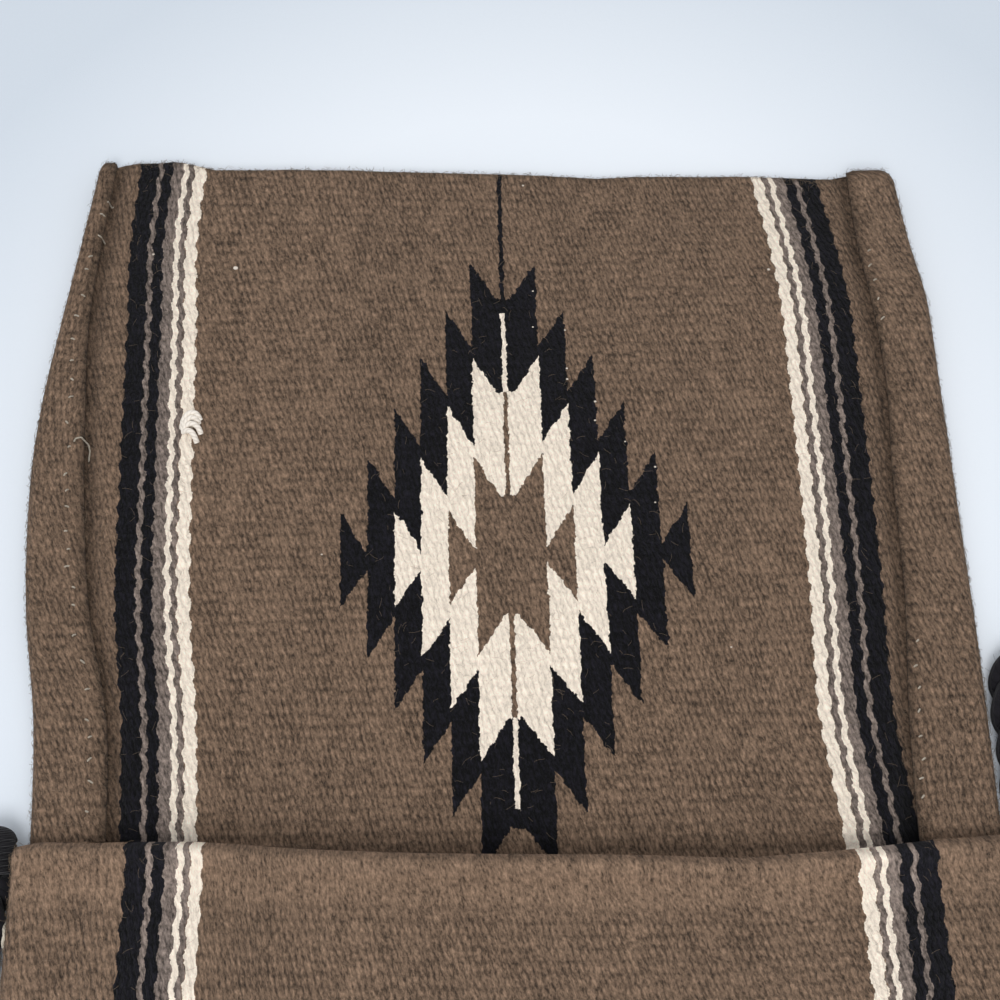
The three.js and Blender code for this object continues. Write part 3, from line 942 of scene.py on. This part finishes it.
def nearest_grain(tree, place, slant):
    """Middle of the nearest grain, and how far from it the point lies."""
    size = (GRAIN_WIDTH, 2 * WARP_PITCH, 1.0)
    half = (GRAIN_WIDTH / 2, WARP_PITCH, 0.0)
    found = []
    for shift_in, shift_out in ((half, (0, 0, 0)), ((0, 0, 0), half)):
        snapped = vector_node(tree, "SNAP", vector_node(tree, "ADD", place, shift_in), size)
        middle = vector_node(tree, "ADD", snapped, shift_out)
        away = separate(tree, vector_node(tree, "SUBTRACT", place, middle))
        leaning = math_node(tree, "MULTIPLY_ADD", away[1], slant, away[0])
        flat = add(tree, "ShaderNodeCombineXYZ", {
            0: math_node(tree, "MULTIPLY", leaning, 1 / (0.56 * GRAIN_WIDTH)),
            1: math_node(tree, "MULTIPLY", away[1], 1 / (0.72 * WARP_PITCH)),
        })
        reach = add(tree, "ShaderNodeVectorMath", {0: flat}, out="Value", operation="LENGTH")
        found.append((middle, reach))
    (middle_a, reach_a), (middle_b, reach_b) = found
    nearer = math_node(tree, "LESS_THAN", reach_a, reach_b)
    middle = add(tree, "ShaderNodeMix", {0: nearer, 4: middle_b, 5: middle_a}, out=1,
                 data_type="VECTOR")
    return middle, math_node(tree, "MINIMUM", reach_a, reach_b)


# %% [markdown]
# ## The pattern
#
# The stripes are bands of u, the same on both sides and over the whole length of the cloth.
# The stepped diamond is an old tapestry figure that comes from counting warps. Read from its
# middle line outwards, it is a row of columns 9 mm wide. Each column ends in a slanted tooth, and
# each reaches one step less far than the last. Inside it lie the same figure two steps smaller in
# cream, and four steps smaller in brown. So one sawtooth gives all three. A thin line runs down
# its middle, and up from its top to the flap's end.

# %% Pattern
WOOLS = {"brown": "#745f4e", "grey": "#7b6e66", "black": "#0d0c11", "cream": "#fdeedb"}
STRIPES = {
    "grey": [(104.0, 117.5)],
    "black": [(111.8, 115.3), (117.1, 123.7)],
    "cream": [(99.7, 103.8), (105.9, 107.8)],
}
DIAMOND_U = 2.0
DIAMOND_V = 95.5
DIAMOND_REACH = 94.6
COLUMN_START = 2.4
COLUMN_WIDTH = 9.2
COLUMN_STEP = 18.8
TOOTH = 14.5
LOWER_PACKING = 1.117
LOWER_SHIFT = 5.2
LOWER_LINE_END = 11.0
RIGHT_SPREAD = 0.03
LINE_HALF = 0.8
CREAM_LINE_FROM = DIAMOND_REACH - 2 * COLUMN_STEP
BLACK_LINE_FROM = DIAMOND_REACH - 6


def band(tree, value, low, high):
    """1 where the value lies between low and high, else 0."""
    return math_node(tree, "COMPARE", value, (low + high) / 2, (high - low) / 2)


def paint(tree, mask, below, wool):
    """The wool laid over another colour where the mask is 1."""
    return add(tree, "ShaderNodeMix", {0: mask, 6: below, 7: linear(WOOLS[wool])}, out=2,
               data_type="RGBA")


def stripes_colour(tree, u):
    """The three kinds of stripe on plain brown. Both hems beyond them are plain again."""
    from_middle = math_node(tree, "ABSOLUTE", u)
    colour = linear(WOOLS["brown"])
    for wool, bands in STRIPES.items():
        for low, high in bands:
            colour = paint(tree, band(tree, from_middle, low, high), colour, wool)
    return colour


def diamond_colour(tree, u, v, colour):
    """The nested diamonds, and the thin line that runs down their middle."""
    off_middle = math_node(tree, "SUBTRACT", u, DIAMOND_U)
    sideways = math_node(tree, "ABSOLUTE", off_middle)
    # The weaver beat the lower half closer, and left the right side a little wider
    above = math_node(tree, "SUBTRACT", v, DIAMOND_V)
    below = math_node(tree, "MULTIPLY_ADD", above, -LOWER_PACKING, -LOWER_SHIFT)
    upright = math_node(tree, "MAXIMUM", above, math_node(tree, "MAXIMUM", below, 0.0))
    wider = math_node(tree, "MULTIPLY", sideways, math_node(
        tree, "MULTIPLY_ADD", math_node(tree, "SIGN", off_middle), -RIGHT_SPREAD, 1.0))
    columns = math_node(tree, "MULTIPLY", math_node(tree, "SUBTRACT", wider, COLUMN_START),
                        1 / COLUMN_WIDTH)
    columns = math_node(tree, "MAXIMUM", columns, 0.0)
    steps = math_node(tree, "FLOOR", columns)
    part = math_node(tree, "FRACT", columns)
    reach = math_node(tree, "MULTIPLY_ADD", part, TOOTH,
                      math_node(tree, "MULTIPLY_ADD", steps, -COLUMN_STEP, DIAMOND_REACH))
    inside = math_node(tree, "SUBTRACT", reach, upright)
    for level, wool in enumerate(("black", "cream", "brown")):
        mask = math_node(tree, "GREATER_THAN", inside, 2 * level * COLUMN_STEP)
        colour = paint(tree, mask, colour, wool)
    on_line = math_node(tree, "LESS_THAN", sideways, LINE_HALF)
    for wool, low, high, first_v in (
        ("brown", 0, CREAM_LINE_FROM, 0.0),
        ("cream", CREAM_LINE_FROM, BLACK_LINE_FROM, LOWER_LINE_END),
        ("black", BLACK_LINE_FROM, 400.0, DIAMOND_V),
    ):
        shown = math_node(tree, "MULTIPLY", on_line, band(tree, upright, low, high))
        shown = math_node(tree, "MULTIPLY", shown, math_node(tree, "GREATER_THAN", v, first_v))
        colour = paint(tree, shown, colour, wool)
    return colour


# %% [markdown]
# Hand weaving is uneven, so no edge of the pattern is a ruled line. A stripe's picks go over even
# warps and under odd ones, so its edges swing in and out together. The diamond's slopes step from
# warp to warp and show small bumps. Both are fuzzy, because wool is.

# %% Edges of the pattern
STRIPE_SWING = 0.42
STRIPE_DRIFT = 0.35
DIAMOND_DRIFT = (0.45, 0.9)


def pattern_colour(tree, raw, fuzzy, wander):
    """The pattern's colour, with its edges as uneven as the loom leaves them."""
    slow = separate(tree, wander)
    phase = math_node(tree, "MULTIPLY", fuzzy[1], math.pi / WARP_PITCH)
    swing = math_node(tree, "MULTIPLY", math_node(tree, "SINE", phase), STRIPE_SWING)
    stripe_u = math_node(tree, "ADD", math_node(tree, "ADD", fuzzy[0], swing),
                         math_node(tree, "MULTIPLY", slow[0], STRIPE_DRIFT))
    bumps = separate(tree, shaken(tree, raw, (2.6, 3.0), (1.7, 3.2), detail=1.0))
    diamond_u, diamond_v = (
        math_node(tree, "MULTIPLY_ADD", slow[axis], DIAMOND_DRIFT[axis],
                  math_node(tree, "ADD", fuzzy[axis], bumps[axis]))
        for axis in (0, 1)
    )
    return diamond_colour(tree, diamond_u, diamond_v, stripes_colour(tree, stripe_u))


# %% [markdown]
# The wool's tone changes at four scales: dye lots over a hand's width, grains 2 mm wide, single
# fibres, and the shade in the gaps between the grains. The selvedge at the mouth is wound
# lengthwise, so it has streaks and no grains. Pale wool lets light through, so its gaps are hardly
# darker than its grains, and on black wool the fibres on top catch far more light than the rest.
# Painted shade darkens the wool in the valley beside each hem.

# %% Tones of the wool
SELVEDGE_V = -591.0


def wool_tone(tree, raw, middle, reach, fibres, selvedge):
    """How light the wool is at each spot, before its colour is taken into account."""
    own = add(tree, "ShaderNodeTexWhiteNoise", {0: middle}, out="Value", noise_dimensions="3D")
    lots = noise(tree, raw, (16.0, 240.0, 0), detail=3.0)
    clouds = noise(tree, raw, (7.0, 12.0, 0), detail=3.0, roughness=0.6)
    streaks = noise(tree, raw, (1.6, 26.0, 0), detail=2.0)
    depth = add(tree, "ShaderNodeMapRange", {0: reach, 1: 0.3, 2: 1.15, 3: 0.0, 4: 1.0})
    gap = math_node(tree, "MULTIPLY", depth, math_node(
        tree, "MULTIPLY_ADD", selvedge, -0.75, 1.0))
    uneven = add(tree, "ShaderNodeMapRange", {0: clouds, 1: 0.35, 2: 0.65, 3: 0.35, 4: 1.1})
    shade = math_node(tree, "MULTIPLY", gap, uneven)
    tone = math_node(tree, "MULTIPLY_ADD", own, 0.34, 0.83)
    tone = math_node(tree, "MULTIPLY_ADD", math_node(tree, "SUBTRACT", lots, 0.5), 0.36, tone)
    tone = math_node(tree, "MULTIPLY_ADD", math_node(tree, "SUBTRACT", fibres, 0.5), 4.5, tone)
    tone = math_node(tree, "ADD", tone, math_node(tree, "MULTIPLY", selvedge, math_node(
        tree, "MULTIPLY_ADD", streaks, 1.3, -0.58)))
    return math_node(tree, "MULTIPLY", tone, math_node(tree, "MULTIPLY_ADD", shade, -0.85, 1.28))


def toned_colour(tree, colour, tone, crease_shade):
    """The pattern's colour in the wool's tone: pale wool varies less, black wool more, and the
    valley beside each hem gets painted shade.
    """
    red = separate(tree, colour)[0]
    pale = add(tree, "ShaderNodeMapRange", {0: red, 1: 0.3, 2: 0.7, 3: 1.0, 4: 0.26})
    dark = add(tree, "ShaderNodeMapRange", {0: red, 1: 0.01, 2: 0.1, 3: 2.2, 4: 1.0})
    eased = math_node(tree, "MULTIPLY", math_node(tree, "SUBTRACT", tone, 1.0), dark)
    tone = math_node(tree, "MAXIMUM", math_node(tree, "MULTIPLY_ADD", eased, pale, 1.0), 0.2)
    # Painted shade: the wool in the valley beside each hem is drawn up to 40 % darker
    tone = math_node(tree, "MULTIPLY", tone, math_node(tree, "MULTIPLY_ADD", crease_shade, -0.4, 1.0))
    return add(tree, "ShaderNodeVectorMath", {0: colour, "Scale": tone}, operation="SCALE")


# %% [markdown]
# The material puts the parts together. The cloth's map gives u and v, and which face is seen: the
# twist of the yarn leans the same way seen from either face, so the slant changes sign with it.
# Wool has hardly any gloss, so it is rough, with a little sheen.

# %% Tapestry material
FIBRE_PATCH = (0.8, 1.9, 0)
RELIEF = 0.6 * MM


def tapestry_material():
    """Hand-spun wool, weft-faced: matt, with soft relief in every grain."""
    material, tree = new_material("weft_faced_wool_tapestry")
    cloth_map = add(tree, "ShaderNodeAttribute", out="Vector", attribute_name="cloth")
    # How deep in the painted shade of a hem's valley each point lies
    crease_shade = add(tree, "ShaderNodeAttribute", out="Fac", attribute_name="crease_shade")
    raw = vector_node(tree, "MULTIPLY", cloth_map, (1.0, 1.0, 0.0))
    _, v, face = separate(tree, cloth_map)
    slant = math_node(tree, "MULTIPLY", face, GRAIN_SLANT)
    # Grains wander by half a millimetre or so, and each is a little out of its place
    wander = shaken(tree, raw, (5.0, 9.0), (2.6, 2.2))
    jitter = shaken(tree, raw, (1.3, 1.9), (1.9, 2.6), roughness=0.6)
    place = vector_node(tree, "ADD", vector_node(tree, "ADD", raw, wander), jitter)
    middle, reach = nearest_grain(tree, place, slant)
    fuzz = shaken(tree, raw, (0.8, 1.3), (1.5, 2.2), detail=3.0, roughness=0.6)
    fuzzy = separate(tree, vector_node(tree, "ADD", raw, fuzz))
    colour = pattern_colour(tree, raw, fuzzy, wander)

    # The yarn's fibres are drawn 0.3 mm wide, so that they show, and lean as the grains do
    leaned = vector_node(tree, "ADD", raw, add(tree, "ShaderNodeCombineXYZ", {
        0: math_node(tree, "MULTIPLY", v, slant)}))
    fibres = noise(tree, leaned, FIBRE_PATCH, detail=4.0, roughness=0.75)
    selvedge = add(tree, "ShaderNodeMapRange", {
        0: fuzzy[1], 1: SELVEDGE_V - 3, 2: SELVEDGE_V + 3, 3: 1.0, 4: 0.0})
    tone = wool_tone(tree, raw, middle, reach, fibres, selvedge)
    toned = toned_colour(tree, colour, tone, crease_shade)

    rounded = math_node(tree, "MULTIPLY_ADD", math_node(tree, "POWER", reach, 2.0), -0.8, 1.0)
    rounded = math_node(tree, "MULTIPLY", rounded, math_node(
        tree, "MULTIPLY_ADD", selvedge, -0.8, 1.0))
    height = math_node(tree, "MULTIPLY_ADD", fibres, 1.6, rounded)
    bump = add(tree, "ShaderNodeBump", {"Height": height, "Distance": RELIEF, "Strength": 1.0})
    shader = add(tree, "ShaderNodeBsdfPrincipled",
                 {"Base Color": toned, "Roughness": 0.95, "Normal": bump,
                  "Specular IOR Level": 0.1, "Sheen Weight": 0.05, "Sheen Roughness": 0.6})
    add(tree, "ShaderNodeOutputMaterial", {0: shader})
    return material


tapestry = tapestry_material()

# %% [markdown]
# The cloth is one sheet, folded. Flat, it is as wide as the flap with both hems turned out, and as
# long as flap, back, bottom fold and front together.

# %% Cloth in its place
cloth = link_object("wool_cloth", cloth_data, tapestry)
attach(cloth, "root")
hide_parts("woven_cloth")

# %% [markdown]
# ## Threads
#
# Three more things are thread or yarn on the cloth: the whip stitches along the sides of the
# pouch, the running stitches that hold the hems, and the white yarn that was darned over a
# stripe. One small tree turns any route into a yarn.

# %% Yarn tree
yarn_tree, yarn_in = new_tree("yarn", [
    ("Radius", "Float"), ("Step", "Float"), ("Sides", "Int"), ("Material", "Material"),
])


def build_yarn_tree(tree, inputs):
    """A round yarn along each spline."""
    even = add(tree, "GeometryNodeResampleCurve",
               {"Curve": inputs["Geometry"], "Length": inputs["Step"]}, mode="LENGTH")
    stored = add(tree, "GeometryNodeStoreNamedAttribute",
                 {"Geometry": even, "Name": "along",
                  "Value": add(tree, "GeometryNodeSplineParameter", out="Length")},
                 data_type="FLOAT", domain="POINT")
    ring = add(tree, "GeometryNodeCurvePrimitiveCircle",
               {"Resolution": inputs["Sides"], "Radius": inputs["Radius"]})
    turn = add(tree, "GeometryNodeStoreNamedAttribute",
               {"Geometry": ring, "Name": "around",
                "Value": add(tree, "GeometryNodeSplineParameter", out="Factor")},
               data_type="FLOAT", domain="POINT")
    finish_yarn(tree, stored, turn, inputs["Material"])


build_yarn_tree(yarn_tree, yarn_in)


def yarn_piece(name, paths, radius, material, step, sides=8):
    """Yarn along the given routes, as one mesh."""
    source = curve_object(name + "_route", paths)
    piece = run_tree(name, source, yarn_tree, Radius=radius, Step=step, Sides=sides,
                     Material=material)
    bpy.data.objects.remove(source)
    return piece


# %% [markdown]
# The front's folded side is sewn to the back's with whip stitches, one every 16 mm. The thread
# goes over the groove between the two folds and on to the next stitch, so its route is a wave.

# %% Side seams
SEAM_STITCH_PITCH = 16.0
SEAM_END_MARGIN = 14.0
SEAM_RADIUS = 0.6 * MM
SEAM_REACH = 4.3
SEAM_OFF = 0.85
SEAM_DIP = 0.9
STEPS_PER_STITCH = 16


def seam_route(side):
    """Whip stitches over the groove between the front's fold and the back's."""
    first, last = -POUCH_HEIGHT + SEAM_END_MARGIN, -SEAM_END_MARGIN
    stitches = round((last - first) / SEAM_STITCH_PITCH)
    route = []
    for step in range(STEPS_PER_STITCH * stitches + 1):
        y = first + (last - first) * step / (STEPS_PER_STITCH * stitches)
        swing = math.cos(2 * math.pi * step / STEPS_PER_STITCH)
        z = FOLD_RADIUS - SEAM_REACH * swing
        x = HALF_WIDTH + SEAM_OFF - SEAM_DIP * swing ** 4
        route.append(Vector((side * x, y, z)) * MM)
    return route


for side, label in ((-1, "left"), (1, "right")):
    seam = yarn_piece(f"side_seam_yarn_{label}", [seam_route(side)], SEAM_RADIUS,
                      linen_thread, 0.9 * MM)
    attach(seam, "root")
    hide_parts(f"side_seam_{label}")

# %% [markdown]
# The small things on the flap are set down on the cloth as it was made: a ray from above finds
# the surface at any place.

# %% Surface of the cloth
cloth_tree = BVHTree.FromPolygons([v.co for v in cloth_data.vertices],
                                  [f.vertices[:] for f in cloth_data.polygons])


def on_cloth(x, y, lift=0.0):
    """The point on top of the cloth at x and y, raised by 'lift', all in millimetres."""
    hit = cloth_tree.ray_cast(Vector((x * MM, y * MM, 0.2)), Vector((0, 0, -1)))[0]
    return hit + Vector((0, 0, lift * MM))


# %% [markdown]
# The hems are sewn down by hand with pale thread, which only shows as a row of dots where it
# comes up through the wool. The stitches lie a few millimetres outside each hem's raw end. One of
# them has pulled loose into a loop.

# %% Hem stitches
STITCH_RADIUS = 0.3
RIGHT_STITCH_PITCH = 7.3
LEFT_STITCH_PITCH = 8.5
STITCH_DEPTH = 0.3
STITCH_ARCH = 0.55
# Between these two places on the right the thread has sunk into the wool
SUNK_FROM, SUNK_TO = 66, 172
LAST_RIGHT_STITCH = 205
hand = np.random.default_rng(11)


def stitch(x, y, length, turn):
    """One short stitch that comes out of the cloth and goes back in."""
    route = []
    for step in range(7):
        share = step / 6
        run = length * (share - 0.5)
        lift = STITCH_ARCH * math.sin(math.pi * share) - STITCH_DEPTH
        route.append(on_cloth(x + run * math.cos(turn), y + run * math.sin(turn), lift))
    return route


def hem_stitches():
    """A row of stitches up each hem, as uneven as a hand makes them."""
    routes = []
    distance = 12.0
    while distance < FLAP_LENGTH - 8:
        hem_line = flap_edges(distance)[4]
        if distance < SUNK_FROM or SUNK_TO < distance < LAST_RIGHT_STITCH:
            routes.append(stitch(hem_line + 2.0 + hand.uniform(-0.5, 0.9), distance,
                                 hand.uniform(0.8, 1.5), hand.uniform(0.2, 1.2)))
        distance += RIGHT_STITCH_PITCH * hand.uniform(0.75, 1.2)
    distance = 14.0
    while distance < FLAP_LENGTH - 8:
        inset = 0.8 + 3.6 * (1 - smooth_step(distance, 150, 235))
        hem_line = flap_edges(distance)[1]
        routes.append(stitch(-hem_line - inset + hand.uniform(-0.9, 0.9), distance,
                             hand.uniform(0.9, 1.7), hand.uniform(-0.9, 0.9)))
        distance += LEFT_STITCH_PITCH * hand.uniform(0.6, 1.25)
    return routes


LOOSE_LOOP = [(-143.9, 137.1, -0.3), (-143.2, 138.1, 0.7), (-141.4, 138.5, 1.3),
              (-139.9, 137.3, 1.5), (-139.3, 134.9, 1.2), (-139.6, 132.7, 0.5),
              (-139.8, 131.7, -0.3)]
stitch_routes = hem_stitches() + [[on_cloth(*point) for point in LOOSE_LOOP]]
stitches = yarn_piece("hem_stitches", stitch_routes, STITCH_RADIUS * MM, linen_thread,
                      0.25 * MM, 6)
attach(stitches, "root")

# %% [markdown]
# A weak place in a stripe was darned with soft white yarn. Its plies lie over the edge of the
# stripe like the ribs of a shell, so each is a short arch with its ends in the cloth.

# %% Darned knot
KNOT_PLIES = [
    [(-108.6, 142.3, -0.3), (-107.8, 145.4, 0.8), (-105.8, 147.5, 1.2), (-103.7, 147.3, 1.0),
     (-102.4, 145.4, -0.4)],
    [(-108.4, 141.9, 0.0), (-106.9, 144.4, 1.2), (-105.0, 145.7, 1.6), (-103.6, 145.2, 0.9),
     (-102.8, 144.0, -0.4)],
    [(-108.2, 141.6, 0.1), (-106.4, 143.1, 1.4), (-104.5, 143.3, 1.8), (-102.8, 142.2, 1.2),
     (-101.9, 140.2, -0.3)],
    [(-108.0, 140.9, 0.0), (-106.2, 141.1, 1.2), (-104.7, 140.2, 1.4), (-103.7, 138.6, 0.9),
     (-103.1, 137.0, -0.3)],
]
KNOT_RADIUS = 0.98


def knot_routes():
    """The plies fan out over the stripe like the ribs of a shell."""
    routes = []
    for ply in KNOT_PLIES:
        held = [tuple(on_cloth(*point) / MM) for point in ply]
        routes.append(smooth_route(held, 8))
    return routes


knot = yarn_piece("darned_yarn", knot_routes(), KNOT_RADIUS * MM, white_darning_yarn,
                  0.4 * MM, 12)
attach(knot, "root")
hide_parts("stripe_knot")

# %% [markdown]
# A few pale bits show in the wool: noil caught in the yarn, and white warp at the slits where
# the diamond's colours turn back. Each is a small flattened ball, in the place where it shows.

# %% Specks
SPECKS = [(-92.6, 204.0, 0.75), (10.8, 236.5, 0.35), (-122.5, 211.0, 0.4), (97.0, 198.5, 0.45),
          (-60.0, 96.0, 0.3), (72.0, 61.0, 0.3), (12.9, 192.8, 0.3), (12.4, 178.5, 0.3),
          (23.6, 177.0, 0.3), (23.6, 161.8, 0.35), (23.5, 157.6, 0.35), (32.7, 148.6, 0.4),
          (32.3, 141.5, 0.35), (42.1, 133.4, 0.3), (51.7, 124.0, 0.35), (50.8, 111.0, 0.3)]
work = bmesh.new()
for x, y, radius in SPECKS:
    spot = on_cloth(x, y, 0.15)
    made = bmesh.ops.create_icosphere(work, subdivisions=2, radius=radius * MM)
    for vert in made["verts"]:
        vert.co = Vector((vert.co.x * 1.2, vert.co.y * 0.9, vert.co.z * 0.7)) + spot
speck_mesh = bpy.data.meshes.new("straw_specks")
work.to_mesh(speck_mesh)
work.free()
speck_mesh.shade_smooth()
specks = link_object("straw_specks", speck_mesh, white_darning_yarn)
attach(specks, "root")

# %% [markdown]
# ## Loose fibres
#
# Wool is never clean cut. Thousands of fine fibres stand out of the yarn, and they soften every
# edge. Geometry Nodes scatter them: each is a short bent line, turned at random and swept as a
# thin tube. Hair would do it too, but it isn't a mesh, and the model has to hold what it shows.

# %% Fibre tree
fibre_tree, fibre_in = new_tree("loose_fibres", [
    ("Density", "Float"), ("Length", "Float"), ("Radius", "Float"), ("Seed", "Int"),
    ("Material", "Material"),
])


def build_fibre_tree(tree, inputs):
    """Bent fibres that stand on the mesh where its attribute 'hairy' is 1."""
    hairy = add(tree, "GeometryNodeInputNamedAttribute", {"Name": "hairy"}, data_type="FLOAT")
    density = math_node(tree, "MULTIPLY", hairy, inputs["Density"])
    scattered = add(tree, "GeometryNodeDistributePointsOnFaces",
                    {"Mesh": inputs["Geometry"], "Density": density, "Seed": inputs["Seed"]},
                    distribute_method="RANDOM")
    fibre = add(tree, "GeometryNodeCurveQuadraticBezier",
                {"Resolution": 3, "Start": (0, 0, -0.05), "Middle": (0.35, 0.12, 0.45),
                 "End": (0.95, -0.1, 0.3)})
    size = add(tree, "FunctionNodeRandomValue", {2: 0.35, 3: 1.0, "Seed": 3}, out=1,
               data_type="FLOAT")
    scaled = math_node(tree, "MULTIPLY", size, inputs["Length"])
    flatter = add(tree, "FunctionNodeRandomValue", {2: 0.15, 3: 1.0, "Seed": 4}, out=1,
                  data_type="FLOAT")
    scale = add(tree, "ShaderNodeCombineXYZ", {
        0: scaled, 1: scaled, 2: math_node(tree, "MULTIPLY", scaled, flatter)})
    placed = add(tree, "GeometryNodeInstanceOnPoints",
                 {"Points": scattered, "Instance": fibre,
                  "Rotation": scattered.node.outputs["Rotation"], "Scale": scale})
    spin = add(tree, "FunctionNodeRandomValue",
               {2: 0.0, 3: 2 * math.pi, "Seed": 5}, out=1, data_type="FLOAT")
    turned = add(tree, "GeometryNodeRotateInstances",
                 {"Instances": placed,
                  "Rotation": add(tree, "ShaderNodeCombineXYZ", {2: spin})})
    real = add(tree, "GeometryNodeRealizeInstances", {"Geometry": turned})
    ring = add(tree, "GeometryNodeCurvePrimitiveCircle",
               {"Resolution": 3, "Radius": inputs["Radius"]})
    swept = add(tree, "GeometryNodeCurveToMesh", {"Curve": real, "Profile Curve": ring})
    coloured = add(tree, "GeometryNodeSetMaterial",
                   {"Geometry": swept, "Material": inputs["Material"]})
    add(tree, "NodeGroupOutput", {0: coloured})


build_fibre_tree(fibre_tree, fibre_in)


def fibre_material(name, colour):
    """Single wool fibres, which let some light through."""
    material, tree = new_material(name)
    shader = add(tree, "ShaderNodeBsdfPrincipled",
                 {"Base Color": linear(colour), "Roughness": 0.7, "Specular IOR Level": 0.3})
    add(tree, "ShaderNodeOutputMaterial", {0: shader})
    return material


pale_fibre = fibre_material("loose_pale_wool_fibre", "#8f7c6a")
brown_fibre = fibre_material("loose_brown_wool_fibre", "#6f5e4c")
black_fibre = fibre_material("loose_black_wool_fibre", "#2a282d")

# %% [markdown]
# Fibres stand where they can be seen: on the inner face of the flap and the top of the front, and
# much closer together where the cloth turns over at its free end and its long sides.

# %% Where fibres stand
FRONT_V = -313
point_count = len(cloth_data.vertices)
map_values = np.zeros(point_count * 3, dtype=np.float32)
cloth_data.attributes["cloth"].data.foreach_get("vector", map_values)
cloth_v = map_values.reshape(-1, 3)[:, 1]
normals = np.zeros(point_count * 3, dtype=np.float32)
cloth_data.vertices.foreach_get("normal", normals)
sideways, upwards = normals.reshape(-1, 3)[:, 0], normals.reshape(-1, 3)[:, 2]
in_view = (upwards > -0.3) & ((cloth_v > 0) | (cloth_v < FRONT_V))
at_edge = in_view & (upwards > 0) & (
    (cloth_v > FLAP_LENGTH - 2.5) | (np.abs(sideways) > 0.6))
print("points at an edge", int(at_edge.sum()), "of", point_count)

# %% [markdown]
# Three lots are made with the one tree: pale and long on the faces, brown and short along the
# edges, black on the strap. Each lot stays under 200,000 triangles.

# %% Loose fibres
FIBRES = [
    ("field_fibres", cloth, in_view, pale_fibre, "wool_tapestry",
     {"Density": 26000.0, "Length": 4.2 * MM, "Radius": 0.032 * MM, "Seed": 1}),
    ("edge_fibres", cloth, at_edge, brown_fibre, "wool_tapestry",
     {"Density": 1080000.0, "Length": 2.7 * MM, "Radius": 0.05 * MM, "Seed": 6}),
    ("strap_fibres", strap, np.ones(len(strap.data.vertices)), black_fibre, "black_braid",
     {"Density": 70000.0, "Length": 4.0 * MM, "Radius": 0.04 * MM, "Seed": 2}),
]
for name, source, wanted, material, slot, values in FIBRES:
    layer = source.data.attributes.new("hairy", "FLOAT", "POINT")
    layer.data.foreach_set("value", wanted.astype(np.float32))
    fibres = run_tree(name, source, fibre_tree, Material=material, **values)
    source.data.attributes.remove(source.data.attributes["hairy"])
    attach(fibres, "root")

# %% [markdown]
# ## The table and the light
#
# A pale, slightly blue cloth lies under the bag. In the photo it is brighter around the bag than
# further off.

# %% Table
def table_material():
    """Pale fine cotton, with a weave too fine to see more than a hint of."""
    material, tree = new_material("pale_table_cotton")
    coordinates = add(tree, "ShaderNodeTexCoord", out="Object")
    # The light pools around the bag, so the table is a little darker further off
    away = add(tree, "ShaderNodeVectorMath",
               {0: vector_node(tree, "SUBTRACT", coordinates, (0.01, 0.13, 0))}, out="Value",
               operation="LENGTH")
    pool = add(tree, "ShaderNodeMapRange", {0: away, 1: 0.14, 2: 0.24, 3: 1.0, 4: 0.0})
    fine = add(tree, "ShaderNodeTexNoise",
               {"Vector": coordinates, "Scale": 2200.0, "Detail": 1.0})
    mixed = add(tree, "ShaderNodeMix",
                {0: pool, 6: linear("#d3dbe4"), 7: linear("#ebf0f6")}, out=2,
                data_type="RGBA")
    bump = add(tree, "ShaderNodeBump", {"Height": fine, "Distance": 0.05 * MM})
    shader = add(tree, "ShaderNodeBsdfPrincipled",
                 {"Base Color": mixed, "Roughness": 0.9, "Normal": bump,
                  "Specular IOR Level": 0.2})
    add(tree, "ShaderNodeOutputMaterial", {0: shader})
    return material


work = bmesh.new()
bmesh.ops.create_grid(work, x_segments=8, y_segments=8, size=3.0)
for vert in work.verts:
    vert.co.z -= 0.2 * MM
table_mesh = bpy.data.meshes.new("table")
work.to_mesh(table_mesh)
work.free()
table = link_object("table", table_mesh, table_material())

# %% [markdown]
# The light is soft and even: a bright room all around, a wide lamp above the near side, which
# gives the front's edge its thin dark line, and a weaker and wider one behind. Their level is set
# so that a colour shows about as it is written.

# %% Light
world = bpy.data.worlds.new("room")
bpy.context.scene.world = world
world.use_nodes = True
world.node_tree.nodes.clear()
background = add(world.node_tree, "ShaderNodeBackground",
                 {"Color": linear("#f4f7fb"), "Strength": 0.74})
add(world.node_tree, "ShaderNodeOutputWorld", {0: background})


def area_lamp(name, place, target, size, watts, colour):
    """A square lamp that faces its target."""
    data = bpy.data.lights.new(name, "AREA")
    data.shape = "SQUARE"
    data.size = size
    data.energy = watts
    data.color = linear(colour)[:3]
    lamp = bpy.data.objects.new(name, data)
    lamp.location = place
    lamp.rotation_euler = (Vector(target) - Vector(place)).to_track_quat("-Z", "Y").to_euler()
    bpy.context.scene.collection.objects.link(lamp)


area_lamp("window", (-0.1, -0.55, 0.95), (0.0, 0.1, 0), 0.5, 6.0, "#ffffff")
area_lamp("room_fill", (0.3, 1.0, 1.3), (0, 0.1, 0), 1.0, 2.0, "#fffaf2")
bpy.context.scene.view_settings.view_transform = "Standard"
